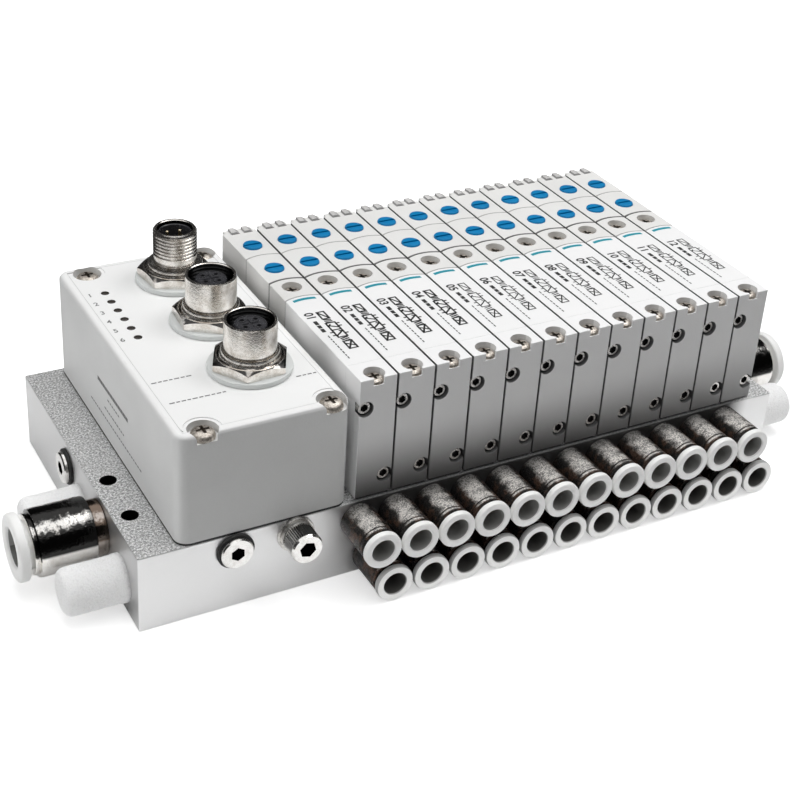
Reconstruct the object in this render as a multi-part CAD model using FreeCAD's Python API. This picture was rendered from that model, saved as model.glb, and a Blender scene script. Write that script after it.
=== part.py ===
import FreeCAD
import Part
import math
import os

# Valve island: a ported rail that carries a bus module and a row of slim valves.
# Frame: X along the rail, Y from the port side to the rear, Z up.
# The origin is the centre of the rail's bottom face. All lengths are in millimetres.

# Rail
rail_depth = 92.5
rail_height = 22.4
row_end_margin = 7.6
mount_hole_radius = 2.25
mount_hole_inset = 4.5
mount_hole_from_front = 17.65
mount_hole_spacing = 16.5

# Galleries bored through the rail's whole length
supply_from_front = 27.55
supply_axis_height = 13.7
supply_gallery_radius = 3.5
exhaust_spacing = 16.1
exhaust_axis_height = 8.9
exhaust_gallery_radius = 3.2
pilot_from_front = 54.25
pilot_axis_height = 15.4
pilot_gallery_radius = 2.6
passage_radius = 1.4

# Passages from the fittings' sockets to the valves
port_bore_radius = 1.2
port_riser_radius = 0.8
upper_riser_from_left = 2.0
upper_riser_from_front = 9.95
lower_riser_from_front = 6.95

# Row of valves
valve_count = 12
valve_pitch = 10.8
valve_gap = 0.5
valve_front_setback = 0.75
valve_height = 35.1
valve_gasket_thickness = 0.5
valve_gasket_inset = 0.5

# Lengths of a valve's pieces, from the front
end_cap_length = 8.3
body_length = 35.9
adapter_length = 10.5
front_pilot_length = 15.9
rear_pilot_length = 18.0
nose_length = 1.7
nose_side_inset = 0.75
nose_height = 12.0
joint_gap = 0.05
pilot_seam_gap = 0.35
seam_rise = 1.8

# Valve fastenings
front_screw_from_front = 2.9
rear_screw_from_seam = 7.6
screw_well_radius = 2.8
screw_well_depth = 3.1
screw_head_radius = 2.5
screw_head_height = 1.6
screw_shank_radius = 1.15
screw_engagement = 3.6
screw_clearance = 0.1
well_notch_width = 3.0
well_notch_depth = 2.1
cap_screw_head_radius = 1.7
cap_screw_head_height = 1.6
cap_screw_shank_radius = 1.0
cap_screw_length = 13.0
cap_screw_sink = 0.8
cap_screw_key = 2.0
cap_screw_key_depth = 1.0
cap_well_radius = 2.25
upper_cap_screw_from_left = 1.75
upper_cap_screw_below_top = 8.5
lower_cap_screw_from_right = 2.05
lower_cap_screw_above_bottom = 5.4

# Valve insides
spool_radius = 2.6
spool_clearance = 0.05
spool_below_top = 19.0
spool_end_wall = 1.9
spool_land = 4.0
spool_groove_radius = 1.5
spool_land_count = 5
solenoid_radius = 3.6
solenoid_length = 11.0
solenoid_from_seam = 3.4
solenoid_clearance = 0.1
solenoid_below_top = 20.0

# Manual overrides
front_override_from_seam = 8.7
rear_override_from_seam = 7.9
override_head_radius = 2.75
override_proud = 0.55
override_head_depth = 2.6
override_head_edge = 0.25
override_stem_radius = 1.3
override_stem_length = 5.0
override_travel = 1.2
override_clearance = 0.08
override_end_room = 0.4
override_slot_width = 0.7
override_slot_depth = 0.8

# Lamp lenses on the valves' rear edge
lamp_spacing = 4.0
lamp_offset = 0.5
lamp_width = 2.6
lamp_flat_width = 1.5
lamp_length = 3.0
lamp_rear_inset = 0.2
lamp_proud = 0.7
lamp_sink = 1.5
lamp_clearance = 0.05

# Push-in fittings on the front face
upper_port_offset = 0.88
lower_port_offset = 4.83
upper_port_height = 16.9
lower_port_height = 5.3
fitting_side_gap = 0.9
fitting_body_length = 12.4
fitting_end_bevel = 0.35
fitting_spigot_radius = 3.5
fitting_spigot_length = 6.0
fitting_spigot_clearance = 0.05
fitting_through_radius = 1.9
ring_side_gap = 0.4
ring_flange_thickness = 1.8
ring_flange_edge = 0.45
ring_gap = 0.95
ring_sleeve_wall = 0.7
ring_sleeve_length = 5.0
ring_sleeve_clearance = 0.08
tube_radius = 3.0
tube_bore_radius = 3.2
tube_mouth_radius = 3.5
tube_mouth_depth = 0.5
tube_seat_depth = 4.2
tube_seat_clearance = 0.02
tube_grip = 0.05
grab_ring_thickness = 0.5
tube_seal_thickness = 1.8

# Supply fittings on the rail's ends
supply_collar_radius = 7.45
supply_collar_length = 3.2
supply_body_radius = 8.9
supply_body_length = 14.8
supply_body_bevel = 0.8
supply_neck_radius = 8.0
supply_neck_length = 1.2
supply_spigot_radius = 3.85
supply_spigot_length = 8.0
supply_through_radius = 3.0
supply_ring_travel = 1.0
supply_ring_end_room = 0.3
supply_flange_radius = 8.9
supply_flange_thickness = 2.7
supply_flange_edge = 0.7
supply_sleeve_wall = 1.1
supply_sleeve_length = 6.0
supply_tube_radius = 5.0
supply_bore_radius = 5.1
supply_mouth_radius = 5.8
supply_mouth_depth = 0.8
supply_seat_depth = 4.5
supply_seal_thickness = 2.4

# Silencers on the rail's ends
silencer_radius = 6.2
silencer_length = 16.0
silencer_edge = 2.2
silencer_base_radius = 6.4
silencer_base_length = 1.8
silencer_spigot_radius = 3.45
silencer_spigot_length = 7.0
silencer_bore_radius = 2.4
silencer_cap = 3.5

# Port plugs
socket_clearance = 0.05
front_plug_from_left = 25.4
front_plug_height = 17.5
plug_disc_radius = 4.35
plug_disc_thickness = 1.2
plug_seal_radius = 5.0
plug_seal_thickness = 0.9
plug_thread_radius = 3.6
plug_thread_length = 6.0
plug_key = 3.4
plug_key_depth = 1.9

# Ground screw
ground_screw_from_left = 41.8
ground_screw_height = 17.8
ground_head_radius = 4.25
ground_head_height = 5.5
ground_key = 4.0
ground_key_depth = 2.8
ground_key_angle = 15
ground_shank_radius = 2.4
ground_shank_length = 9.0
spring_washer_radius = 4.5
spring_washer_thickness = 1.3
spring_washer_split = 0.8
flat_washer_radius = 5.0
flat_washer_thickness = 1.0
washer_clearance = 0.15

# Bus module housing
bus_from_left = 10.5
bus_width = 46.1
bus_row_gap = 2.0
bus_height = 30.8
bus_gasket_thickness = 0.6
bus_wall = 2.2
bus_roof = 2.8
bus_corner_radius = 3.5
bus_edge_radius = 1.4
bus_screw_left_inset = 7.6
bus_screw_right_inset = 4.6
bus_screw_front_inset = 2.9
bus_screw_rear_inset = 4.3
bus_screw_well_radius = 3.9
bus_screw_well_depth = 2.6
bus_screw_head_radius = 3.1
bus_screw_head_height = 2.2
bus_screw_shank_radius = 1.7
bus_screw_grip = 8.0
bus_post_radius = 4.6
faceplate_inset = 2.4
faceplate_thickness = 0.3
faceplate_corner_radius = 2.0
faceplate_gap = 0.05
faceplate_well_land = 0.8
board_side_gap = 0.3
board_thickness = 1.6
board_height = 6.0
board_chip_count = 3
board_chip = 9.0
board_chip_height = 1.4
board_chip_from_side = 9.0

# Indicator lamps of the bus module
indicator_count = 6
indicator_pitch = 5.2
indicator_radius = 1.1
indicator_from_left = 8.3
indicator_first_from_front = 75.2
indicator_proud = 0.12
indicator_clearance = 0.05

# Round connectors of the bus module: two sockets and, at the rear, one with pins
connector_from_left = 28.9
connector_first_from_front = 24.1
connector_pitch = 26.0
connector_nut_angles = (4, 26, 37)
seal_ring_radius = 11.0
seal_ring_thickness = 1.5
seal_ring_edge = 0.5
nut_across_flats = 18.2
nut_thickness = 2.7
nut_chamfer_height = 1.0
nut_top_radius = 8.9
thread_radius = 8.0
thread_above_nut = 0.5
thread_below = 7.0
thread_fit = 0.06
shoulder_radius = 7.5
shoulder_height = 1.1
groove_radius = 6.6
groove_height = 0.3
female_top = 14.2
female_shell_radius = 6.8
female_bore_radius = 5.9
female_lip = 0.25
male_top = 15.8
male_shell_radius = 6.0
male_bore_radius = 4.9
male_lip = 0.5
insert_base_radius = 4.6
insert_floor = 1.5
insert_clearance = 0.05
female_core_radius = 4.2
female_core_sink = 1.2
male_recess_depth = 8.0
male_liner_wall = 0.3
male_liner_sink = 1.0
key_angle = 245
key_width = 0.9
key_depth = 0.5
key_clearance = 0.1
contact_circle_radius = 2.5
contact_start_angle = 37
contact_count = 4
contact_radius = 0.5
contact_hole_radius = 0.6
female_contact_sink = 1.5
male_contact_sink = 1.6

# Signal board under the valves
channel_from_front = 66.0
channel_width = 16.0
channel_depth = 5.0
channel_clearance = 0.3
link_socket_width = 6.0
link_socket_depth = 9.0

# Places worked out from the sizes above
valve_row_start = bus_from_left + bus_width + bus_row_gap
rail_length = valve_row_start + valve_count * valve_pitch + row_end_margin
rail_left = -rail_length / 2
rail_right = rail_length / 2
rail_front = -rail_depth / 2
supply_y = rail_front + supply_from_front
exhaust_ys = (supply_y - exhaust_spacing, supply_y + exhaust_spacing)
pilot_y = rail_front + pilot_from_front
ends = ((rail_left, -1), (rail_right, 1))
valve_front = rail_front + valve_front_setback
valve_width = valve_pitch - valve_gap
valve_centre = valve_width / 2
valve_top = rail_height + valve_gasket_thickness + valve_height
adapter_start = end_cap_length + body_length
front_pilot_start = adapter_start + adapter_length
rear_pilot_start = front_pilot_start + front_pilot_length
valve_length = rear_pilot_start + rear_pilot_length
rear_screw_from_front = adapter_start + rear_screw_from_seam
mount_screw_places = (front_screw_from_front, rear_screw_from_front)
front_override_from_front = front_pilot_start + front_override_from_seam
rear_override_from_front = rear_pilot_start + rear_override_from_seam
spool_length = body_length - spool_end_wall
fitting_body_radius = (valve_pitch - fitting_side_gap) / 2
ring_flange_radius = (valve_pitch - ring_side_gap) / 2
ring_sleeve_radius = tube_bore_radius + ring_sleeve_wall
supply_sleeve_radius = supply_bore_radius + supply_sleeve_wall
supply_neck_end = supply_collar_length + supply_body_length + supply_neck_length
supply_ring_back = supply_neck_end + supply_ring_travel + supply_ring_end_room
supply_seat_start = supply_neck_end - supply_sleeve_length
bus_left = rail_left + bus_from_left
bus_bottom = rail_height + bus_gasket_thickness
bus_top = bus_bottom + bus_height
connector_x = bus_left + connector_from_left
thread_top = seal_ring_thickness + nut_thickness + thread_above_nut
shoulder_top = thread_top + shoulder_height
groove_top = shoulder_top + groove_height


def block(x, y, z, dx, dy, dz):
    return Part.makeBox(dx, dy, dz, FreeCAD.Vector(x, y, z))


def rod(x, y, z, radius, length, axis):
    return Part.makeCylinder(radius, length, FreeCAD.Vector(x, y, z), FreeCAD.Vector(*axis))


def lathe(points):
    # Turn a half outline of (radius, height) points about Z.
    corners = [FreeCAD.Vector(radius, 0, height) for radius, height in points]
    face = Part.Face(Part.makePolygon(corners + corners[:1]))
    return face.revolve(FreeCAD.Vector(0, 0, 0), FreeCAD.Vector(0, 0, 1), 360)


def point_along(shape, axis):
    # Turn a shape modelled along +Z so that it points along the given axis.
    turn = FreeCAD.Rotation(FreeCAD.Vector(0, 0, 1), FreeCAD.Vector(*axis))
    shape.Placement = FreeCAD.Placement(FreeCAD.Vector(0, 0, 0), turn)
    return shape


def turned(shape, angle):
    shape.rotate(FreeCAD.Vector(0, 0, 0), FreeCAD.Vector(0, 0, 1), angle)
    return shape


def placed(shape, x, y, z):
    moved = shape.copy()
    moved.translate(FreeCAD.Vector(x, y, z))
    return moved


def hexagon(across_flats, height, start_angle):
    reach = across_flats / math.sqrt(3)
    corners = []
    for corner in range(6):
        angle = math.radians(start_angle + 60 * corner)
        corners.append(FreeCAD.Vector(reach * math.cos(angle), reach * math.sin(angle), 0))
    face = Part.Face(Part.makePolygon(corners + corners[:1]))
    return face.extrude(FreeCAD.Vector(0, 0, height))


def ring(inner, outer, start, length):
    return lathe([(inner, start), (outer, start), (outer, start + length), (inner, start + length)])


def save(name, shapes):
    for shape in shapes:
        if not shape.isValid():
            raise ValueError(name + " is not a valid solid")
    whole = shapes[0] if len(shapes) == 1 else Part.makeCompound(shapes)
    whole.exportStep("parts/" + name + ".step")


def station_lefts():
    return [rail_left + valve_row_start + number * valve_pitch for number in range(valve_count)]


def station_centre(left):
    return left + valve_pitch / 2


def upper_ports():
    return [(left + upper_port_offset, upper_port_height) for left in station_lefts()]


def lower_ports():
    return [(left + lower_port_offset, lower_port_height) for left in station_lefts()]


def all_ports():
    return upper_ports() + lower_ports()


def risers():
    # Where the working passages come up through the rail's top, and the height that they start at.
    places = []
    for left in station_lefts():
        upper_y = rail_front + upper_riser_from_front
        lower_y = rail_front + lower_riser_from_front
        places.append((left + upper_riser_from_left, upper_y, upper_port_height))
        places.append((station_centre(left), lower_y, lower_port_height))
    return places


def mount_holes():
    first = rail_front + mount_hole_from_front
    places = []
    for x in (rail_left + mount_hole_inset, rail_right - mount_hole_inset):
        places.append((x, first))
        places.append((x, first + mount_hole_spacing))
    return places


def bus_screw_places():
    places = []
    for x in (bus_left + bus_screw_left_inset, bus_left + bus_width - bus_screw_right_inset):
        places.append((x, rail_front + bus_screw_front_inset))
        places.append((x, rail_front + rail_depth - bus_screw_rear_inset))
    return places


def indicator_places():
    first = rail_front + indicator_first_from_front
    return [(bus_left + indicator_from_left, first - indicator_pitch * number) for number in range(indicator_count)]


def connector_places():
    first = rail_front + connector_first_from_front
    return [(connector_x, first + connector_pitch * number) for number in range(len(connector_nut_angles))]


# Rail


def rail_bores():
    cuts = []
    along = (1, 0, 0)
    cuts.append(rod(rail_left, supply_y, supply_axis_height, supply_gallery_radius, rail_length, along))
    cuts.append(rod(rail_left, pilot_y, pilot_axis_height, pilot_gallery_radius, rail_length, along))
    for y in exhaust_ys:
        cuts.append(rod(rail_left, y, exhaust_axis_height, exhaust_gallery_radius, rail_length, along))
    for end, side in ends:
        inward = (-side, 0, 0)
        supply_mouth = supply_spigot_radius + socket_clearance
        cuts.append(rod(end, supply_y, supply_axis_height, supply_mouth, supply_spigot_length, inward))
        plug_mouth = plug_thread_radius + socket_clearance
        cuts.append(rod(end, pilot_y, pilot_axis_height, plug_mouth, plug_thread_length, inward))
        silencer_mouth = silencer_spigot_radius + socket_clearance
        for y in exhaust_ys:
            cuts.append(rod(end, y, exhaust_axis_height, silencer_mouth, silencer_spigot_length, inward))
    return cuts


def rail_front_holes():
    inward = (0, 1, 0)
    socket = fitting_spigot_radius + fitting_spigot_clearance
    cuts = [rod(x, rail_front, z, socket, fitting_spigot_length, inward) for x, z in all_ports()]
    cuts += [rod(x, rail_front, z, port_bore_radius, upper_riser_from_front, inward) for x, z in upper_ports()]
    cuts += [rod(x, rail_front, z, port_bore_radius, lower_riser_from_front, inward) for x, z in lower_ports()]
    plug_x = rail_left + front_plug_from_left
    plug_mouth = plug_thread_radius + socket_clearance
    cuts.append(rod(plug_x, rail_front, front_plug_height, plug_mouth, plug_thread_length, inward))
    screw_x = rail_left + ground_screw_from_left
    screw_hole = ground_shank_radius + socket_clearance
    cuts.append(rod(screw_x, rail_front, ground_screw_height, screw_hole, ground_shank_length, inward))
    return cuts


def rail_station_holes():
    down = (0, 0, -1)
    cuts = [rod(x, y, rail_height, port_riser_radius, rail_height - start, down) for x, y, start in risers()]
    screw_hole = screw_shank_radius + socket_clearance
    for left in station_lefts():
        x = station_centre(left)
        cuts.append(rod(x, supply_y, rail_height, passage_radius, rail_height - supply_axis_height, down))
        for y in exhaust_ys:
            cuts.append(rod(x, y, rail_height, passage_radius, rail_height - exhaust_axis_height, down))
        for distance in mount_screw_places:
            cuts.append(rod(x, valve_front + distance, rail_height, screw_hole, screw_engagement, down))
    return cuts


def rail_bus_screw_holes():
    hole = bus_screw_shank_radius + socket_clearance
    return [rod(x, y, rail_height, hole, bus_screw_grip, (0, 0, -1)) for x, y in bus_screw_places()]


def link_channel():
    left = bus_left + bus_width / 2
    length = station_lefts()[-1] + valve_pitch - left
    y = rail_front + channel_from_front
    return block(left, y, rail_height - channel_depth, length, channel_width, channel_depth)


def rail():
    solid = block(rail_left, rail_front, 0, rail_length, rail_depth, rail_height)
    cuts = rail_bores() + rail_front_holes() + rail_station_holes() + rail_bus_screw_holes()
    for x, y in mount_holes():
        cuts.append(rod(x, y, 0, mount_hole_radius, rail_height, (0, 0, 1)))
    cuts.append(link_channel())
    return solid.cut(cuts)


def link_board():
    # The board that carries the signals from the bus module to the valves.
    channel = link_channel().BoundBox
    length = channel.XLength - 2 * channel_clearance
    width = channel_width - 2 * channel_clearance
    left = channel.XMin + channel_clearance
    front = channel.YMin + channel_clearance
    board = block(left, front, channel.ZMin, length, width, board_thickness)
    sockets = []
    top = channel.ZMin + board_thickness
    y = channel.YMin + (channel_width - link_socket_depth) / 2
    for station in station_lefts():
        x = station_centre(station) - link_socket_width / 2
        sockets.append(block(x, y, top, link_socket_width, link_socket_depth, rail_height - top))
    return board.fuse(sockets)


# Push-in fittings, modelled along +Z with the rail's face at zero

ring_seat_start = fitting_body_length - ring_sleeve_length
grab_ring_start = ring_seat_start - grab_ring_thickness
tube_seal_start = grab_ring_start - tube_seal_thickness


def fitting_body():
    mouth = ring_sleeve_radius + ring_sleeve_clearance
    tube_end = tube_seal_start - tube_seat_depth
    tube_seat = tube_radius + tube_seat_clearance
    return lathe([
        (fitting_through_radius, -fitting_spigot_length),
        (fitting_spigot_radius, -fitting_spigot_length),
        (fitting_spigot_radius, 0),
        (fitting_body_radius, 0),
        (fitting_body_radius, fitting_body_length - fitting_end_bevel),
        (fitting_body_radius - fitting_end_bevel, fitting_body_length),
        (mouth, fitting_body_length),
        (mouth, tube_seal_start),
        (tube_seat, tube_seal_start),
        (tube_seat, tube_end),
        (fitting_through_radius, tube_end),
    ])


def release_ring():
    back = fitting_body_length + ring_gap
    front = back + ring_flange_thickness
    return lathe([
        (tube_bore_radius, ring_seat_start),
        (ring_sleeve_radius, ring_seat_start),
        (ring_sleeve_radius, back),
        (ring_flange_radius, back),
        (ring_flange_radius, front - ring_flange_edge),
        (ring_flange_radius - ring_flange_edge, front),
        (tube_mouth_radius, front),
        (tube_bore_radius, front - tube_mouth_depth),
    ])


def tube_seal():
    outer = ring_sleeve_radius + ring_sleeve_clearance
    return ring(tube_radius - tube_grip, outer, tube_seal_start, tube_seal_thickness)


def grab_ring():
    outer = ring_sleeve_radius + ring_sleeve_clearance
    return ring(tube_radius - tube_grip, outer, grab_ring_start, grab_ring_thickness)


def at_ports(shape):
    outward = point_along(shape, (0, -1, 0))
    return [placed(outward, x, rail_front, z) for x, z in all_ports()]


# Supply fittings, modelled along +Z with the rail's end face at zero


def supply_fitting_body():
    mouth = supply_sleeve_radius + ring_sleeve_clearance
    neck_start = supply_collar_length + supply_body_length
    seal_end = supply_seat_start - supply_seal_thickness
    tube_end = seal_end - supply_seat_depth
    tube_seat = supply_tube_radius + tube_seat_clearance
    return lathe([
        (supply_through_radius, -supply_spigot_length),
        (supply_spigot_radius, -supply_spigot_length),
        (supply_spigot_radius, 0),
        (supply_collar_radius, 0),
        (supply_collar_radius, supply_collar_length),
        (supply_body_radius - supply_body_bevel, supply_collar_length),
        (supply_body_radius, supply_collar_length + supply_body_bevel),
        (supply_body_radius, neck_start - supply_body_bevel),
        (supply_body_radius - supply_body_bevel, neck_start),
        (supply_neck_radius, neck_start),
        (supply_neck_radius, supply_neck_end),
        (mouth, supply_neck_end),
        (mouth, seal_end),
        (tube_seat, seal_end),
        (tube_seat, tube_end),
        (supply_through_radius, tube_end),
    ])


def supply_release_ring():
    front = supply_ring_back + supply_flange_thickness
    sleeve_end = supply_ring_back - supply_sleeve_length
    return lathe([
        (supply_bore_radius, sleeve_end),
        (supply_sleeve_radius, sleeve_end),
        (supply_sleeve_radius, supply_ring_back),
        (supply_flange_radius, supply_ring_back),
        (supply_flange_radius, front - supply_flange_edge),
        (supply_flange_radius - supply_flange_edge, front),
        (supply_mouth_radius, front),
        (supply_bore_radius, front - supply_mouth_depth),
    ])


def supply_tube_seal():
    start = supply_seat_start - supply_seal_thickness
    outer = supply_sleeve_radius + ring_sleeve_clearance
    return ring(supply_tube_radius - tube_grip, outer, start, supply_seal_thickness)


def at_supply_ends(shape):
    fitted = []
    for end, side in ends:
        outward = point_along(shape.copy(), (side, 0, 0))
        fitted.append(placed(outward, end, supply_y, supply_axis_height))
    return fitted


# Silencers, plugs and the ground screw, modelled along +Z with the rail's face at zero


def silencer():
    edge_steps = 4
    rounded = []
    for step in range(edge_steps + 1):
        angle = math.radians(90 * step / edge_steps)
        radius = silencer_radius - silencer_edge + silencer_edge * math.cos(angle)
        height = silencer_length - silencer_edge + silencer_edge * math.sin(angle)
        rounded.append((radius, height))
    return lathe([
        (silencer_bore_radius, -silencer_spigot_length),
        (silencer_spigot_radius, -silencer_spigot_length),
        (silencer_spigot_radius, 0),
        (silencer_base_radius, 0),
        (silencer_base_radius, silencer_base_length),
        (silencer_radius, silencer_base_length),
    ] + rounded + [
        (0, silencer_length),
        (0, silencer_length - silencer_cap),
        (silencer_bore_radius, silencer_length - silencer_cap),
    ])


def silencers():
    fitted = []
    for end, side in ends:
        outward = point_along(silencer(), (side, 0, 0))
        for y in exhaust_ys:
            fitted.append(placed(outward, end, y, exhaust_axis_height))
    return fitted


def plug():
    top = plug_seal_thickness + plug_disc_thickness
    disc = rod(0, 0, plug_seal_thickness, plug_disc_radius, plug_disc_thickness, (0, 0, 1))
    thread = rod(0, 0, -plug_thread_length, plug_thread_radius, plug_thread_length + plug_seal_thickness, (0, 0, 1))
    key_hole = placed(hexagon(plug_key, plug_key_depth, 0), 0, 0, top - plug_key_depth)
    return disc.fuse(thread).cut(key_hole)


def plug_seal():
    return ring(plug_thread_radius + socket_clearance, plug_seal_radius, 0, plug_seal_thickness)


def at_plug_places(shape):
    plug_x = rail_left + front_plug_from_left
    fitted = [placed(point_along(shape.copy(), (0, -1, 0)), plug_x, rail_front, front_plug_height)]
    for end, side in ends:
        outward = point_along(shape.copy(), (side, 0, 0))
        fitted.append(placed(outward, end, pilot_y, pilot_axis_height))
    return fitted


def at_ground_place(shape):
    x = rail_left + ground_screw_from_left
    return placed(point_along(shape, (0, -1, 0)), x, rail_front, ground_screw_height)


def ground_screw():
    seat = flat_washer_thickness + spring_washer_thickness
    head = rod(0, 0, seat, ground_head_radius, ground_head_height, (0, 0, 1))
    shank = rod(0, 0, -ground_shank_length, ground_shank_radius, ground_shank_length + seat, (0, 0, 1))
    key_hole = hexagon(ground_key, ground_key_depth, ground_key_angle)
    return head.fuse(shank).cut(placed(key_hole, 0, 0, seat + ground_head_height - ground_key_depth))


def ground_washers():
    inner = ground_shank_radius + washer_clearance
    flat = ring(inner, flat_washer_radius, 0, flat_washer_thickness)
    spring = ring(inner, spring_washer_radius, flat_washer_thickness, spring_washer_thickness)
    split = block(0, 0, flat_washer_thickness, spring_washer_radius, spring_washer_split, spring_washer_thickness)
    return [flat, spring.cut(split)]


# Bus module


def rounded_slab(x, y, z, dx, dy, dz, radius):
    slab = block(x, y, z, dx, dy, dz)
    corners = [edge for edge in slab.Edges if edge.BoundBox.ZLength > dz / 2]
    return slab.makeFillet(radius, corners)


def uprights(places, bottom, height, radius):
    return [rod(x, y, bottom, radius, height, (0, 0, 1)) for x, y in places]


def bus_inside(bottom, height):
    width = bus_width - 2 * bus_wall
    depth = rail_depth - 2 * bus_wall
    return block(bus_left + bus_wall, rail_front + bus_wall, bottom, width, depth, height)


def bus_housing():
    outer = rounded_slab(bus_left, rail_front, bus_bottom, bus_width, rail_depth, bus_height, bus_corner_radius)
    rim = [edge for edge in outer.Edges if edge.BoundBox.ZMin > bus_top - 0.01]
    outer = outer.makeFillet(bus_edge_radius, rim)
    posts = uprights(bus_screw_places(), bus_bottom, bus_height, bus_post_radius)
    shell = outer.cut(bus_inside(bus_bottom, bus_height - bus_roof))
    shell = shell.fuse([post.common(outer) for post in posts])
    well_bottom = bus_top - bus_screw_well_depth
    cuts = uprights(bus_screw_places(), bus_bottom, bus_height, bus_screw_shank_radius + screw_clearance)
    cuts += uprights(bus_screw_places(), well_bottom, bus_screw_well_depth, bus_screw_well_radius)
    cuts += uprights(connector_places(), bus_bottom, bus_height, thread_radius + thread_fit)
    cuts += uprights(indicator_places(), bus_bottom, bus_height, indicator_radius + indicator_clearance)
    cuts.append(faceplate_outline(0))
    return shell.cut(cuts)


def faceplate_outline(gap):
    inset = faceplate_inset + gap
    bottom = bus_top - faceplate_thickness
    width = bus_width - 2 * inset
    depth = rail_depth - 2 * inset
    plate = rounded_slab(
        bus_left + inset, rail_front + inset, bottom, width, depth, faceplate_thickness, faceplate_corner_radius
    )
    land = bus_screw_well_radius + faceplate_well_land + gap
    return plate.cut(uprights(bus_screw_places(), bottom, faceplate_thickness, land))


def bus_faceplate():
    bottom = bus_top - faceplate_thickness
    holes = uprights(connector_places(), bottom, faceplate_thickness, thread_radius + thread_fit)
    holes += uprights(indicator_places(), bottom, faceplate_thickness, indicator_radius + indicator_clearance)
    return faceplate_outline(faceplate_gap).cut(holes)


def bus_gasket():
    sheet = rounded_slab(
        bus_left, rail_front, rail_height, bus_width, rail_depth, bus_gasket_thickness, bus_corner_radius
    )
    hole = bus_screw_shank_radius + screw_clearance
    holes = uprights(bus_screw_places(), rail_height, bus_gasket_thickness, hole)
    return sheet.cut([bus_inside(rail_height, bus_gasket_thickness)] + holes)


def cross_recess(width, depth, top):
    arm = width / 4
    first = block(-width / 2, -arm / 2, top - depth, width, arm, depth)
    second = block(-arm / 2, -width / 2, top - depth, arm, width, depth)
    return first.fuse(second)


def pan_screw(head_radius, head_height, shank_radius, reach):
    # The head's seat is at zero.
    shank = rod(0, 0, -reach, shank_radius, reach, (0, 0, 1))
    head = lathe([
        (0, 0),
        (head_radius, 0),
        (head_radius, head_height * 0.45),
        (head_radius * 0.8, head_height * 0.85),
        (head_radius * 0.45, head_height),
        (0, head_height),
    ])
    recess = cross_recess(head_radius * 1.1, head_height * 0.6, head_height)
    return head.fuse(shank).cut(recess)


def bus_screws():
    seat = bus_top - bus_screw_well_depth
    reach = seat - rail_height + bus_screw_grip
    screw = pan_screw(bus_screw_head_radius, bus_screw_head_height, bus_screw_shank_radius, reach)
    return [placed(screw, x, y, seat) for x, y in bus_screw_places()]


def bus_circuit_board():
    side = bus_wall + board_side_gap
    left = bus_left + side
    front = rail_front + side
    depth = rail_depth - 2 * side
    bottom = bus_bottom + board_height
    top = bottom + board_thickness
    board = block(left, front, bottom, bus_width - 2 * side, depth, board_thickness)
    notches = uprights(bus_screw_places(), bottom, board_thickness, bus_post_radius + board_side_gap)
    chips = []
    for number in range(board_chip_count):
        y = front + depth * (number + 1) / (board_chip_count + 1) - board_chip / 2
        chips.append(block(left + board_chip_from_side, y, top, board_chip, board_chip, board_chip_height))
    return board.cut(notches).fuse(chips)


def indicator_lenses():
    return uprights(indicator_places(), bus_top - bus_roof, bus_roof + indicator_proud, indicator_radius)


# Round connectors, modelled with the housing's top face at zero


def connector_shell(radius, bore, top, lip):
    insert_seat = insert_base_radius + insert_clearance
    return lathe([
        (insert_seat, -thread_below),
        (thread_radius, -thread_below),
        (thread_radius, thread_top),
        (shoulder_radius, thread_top),
        (shoulder_radius, shoulder_top),
        (groove_radius, shoulder_top),
        (groove_radius, groove_top),
        (radius, groove_top),
        (radius, top - lip),
        (radius - lip, top),
        (bore, top),
        (bore, insert_floor),
        (insert_seat, insert_floor),
    ])


def female_shell():
    return connector_shell(female_shell_radius, female_bore_radius, female_top, female_lip)


def male_shell():
    return connector_shell(male_shell_radius, male_bore_radius, male_top, male_lip)


def contact_points():
    points = []
    for number in range(contact_count):
        angle = math.radians(contact_start_angle + 360 * number / contact_count)
        points.append((contact_circle_radius * math.cos(angle), contact_circle_radius * math.sin(angle)))
    return points


def female_insert():
    top = female_top - female_core_sink
    base = rod(0, 0, -thread_below, insert_base_radius, thread_below + insert_floor, (0, 0, 1))
    core = rod(0, 0, insert_floor, female_core_radius, top - insert_floor, (0, 0, 1))
    groove = key_width + 2 * key_clearance
    start = female_core_radius - key_depth - key_clearance
    keyway = block(start, -groove / 2, insert_floor, female_core_radius, groove, top - insert_floor)
    cuts = uprights(contact_points(), -thread_below, thread_below + top, contact_hole_radius)
    return base.fuse(core.cut(turned(keyway, key_angle))).cut(cuts)


def male_insert():
    floor = male_top - male_recess_depth
    base = rod(0, 0, -thread_below, insert_base_radius, thread_below + floor, (0, 0, 1))
    liner_inner = insert_base_radius - male_liner_wall
    liner_height = male_recess_depth - male_liner_sink
    liner = ring(liner_inner, insert_base_radius, floor, liner_height)
    key_start = female_core_radius - key_depth
    key = block(key_start, -key_width / 2, floor, liner_inner - key_start + male_liner_wall / 2, key_width, liner_height)
    holes = uprights(contact_points(), -thread_below, thread_below + floor, contact_hole_radius)
    return base.cut(holes).fuse([liner, turned(key, key_angle)])


def lock_nut(angle):
    reach = nut_across_flats / math.sqrt(3)
    cone = lathe([
        (0, 0),
        (reach, 0),
        (reach, nut_thickness - nut_chamfer_height),
        (nut_top_radius, nut_thickness),
        (0, nut_thickness),
    ])
    hole = rod(0, 0, 0, thread_radius + thread_fit, nut_thickness, (0, 0, 1))
    nut = hexagon(nut_across_flats, nut_thickness, angle).common(cone).cut(hole)
    return placed(nut, 0, 0, seal_ring_thickness)


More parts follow.
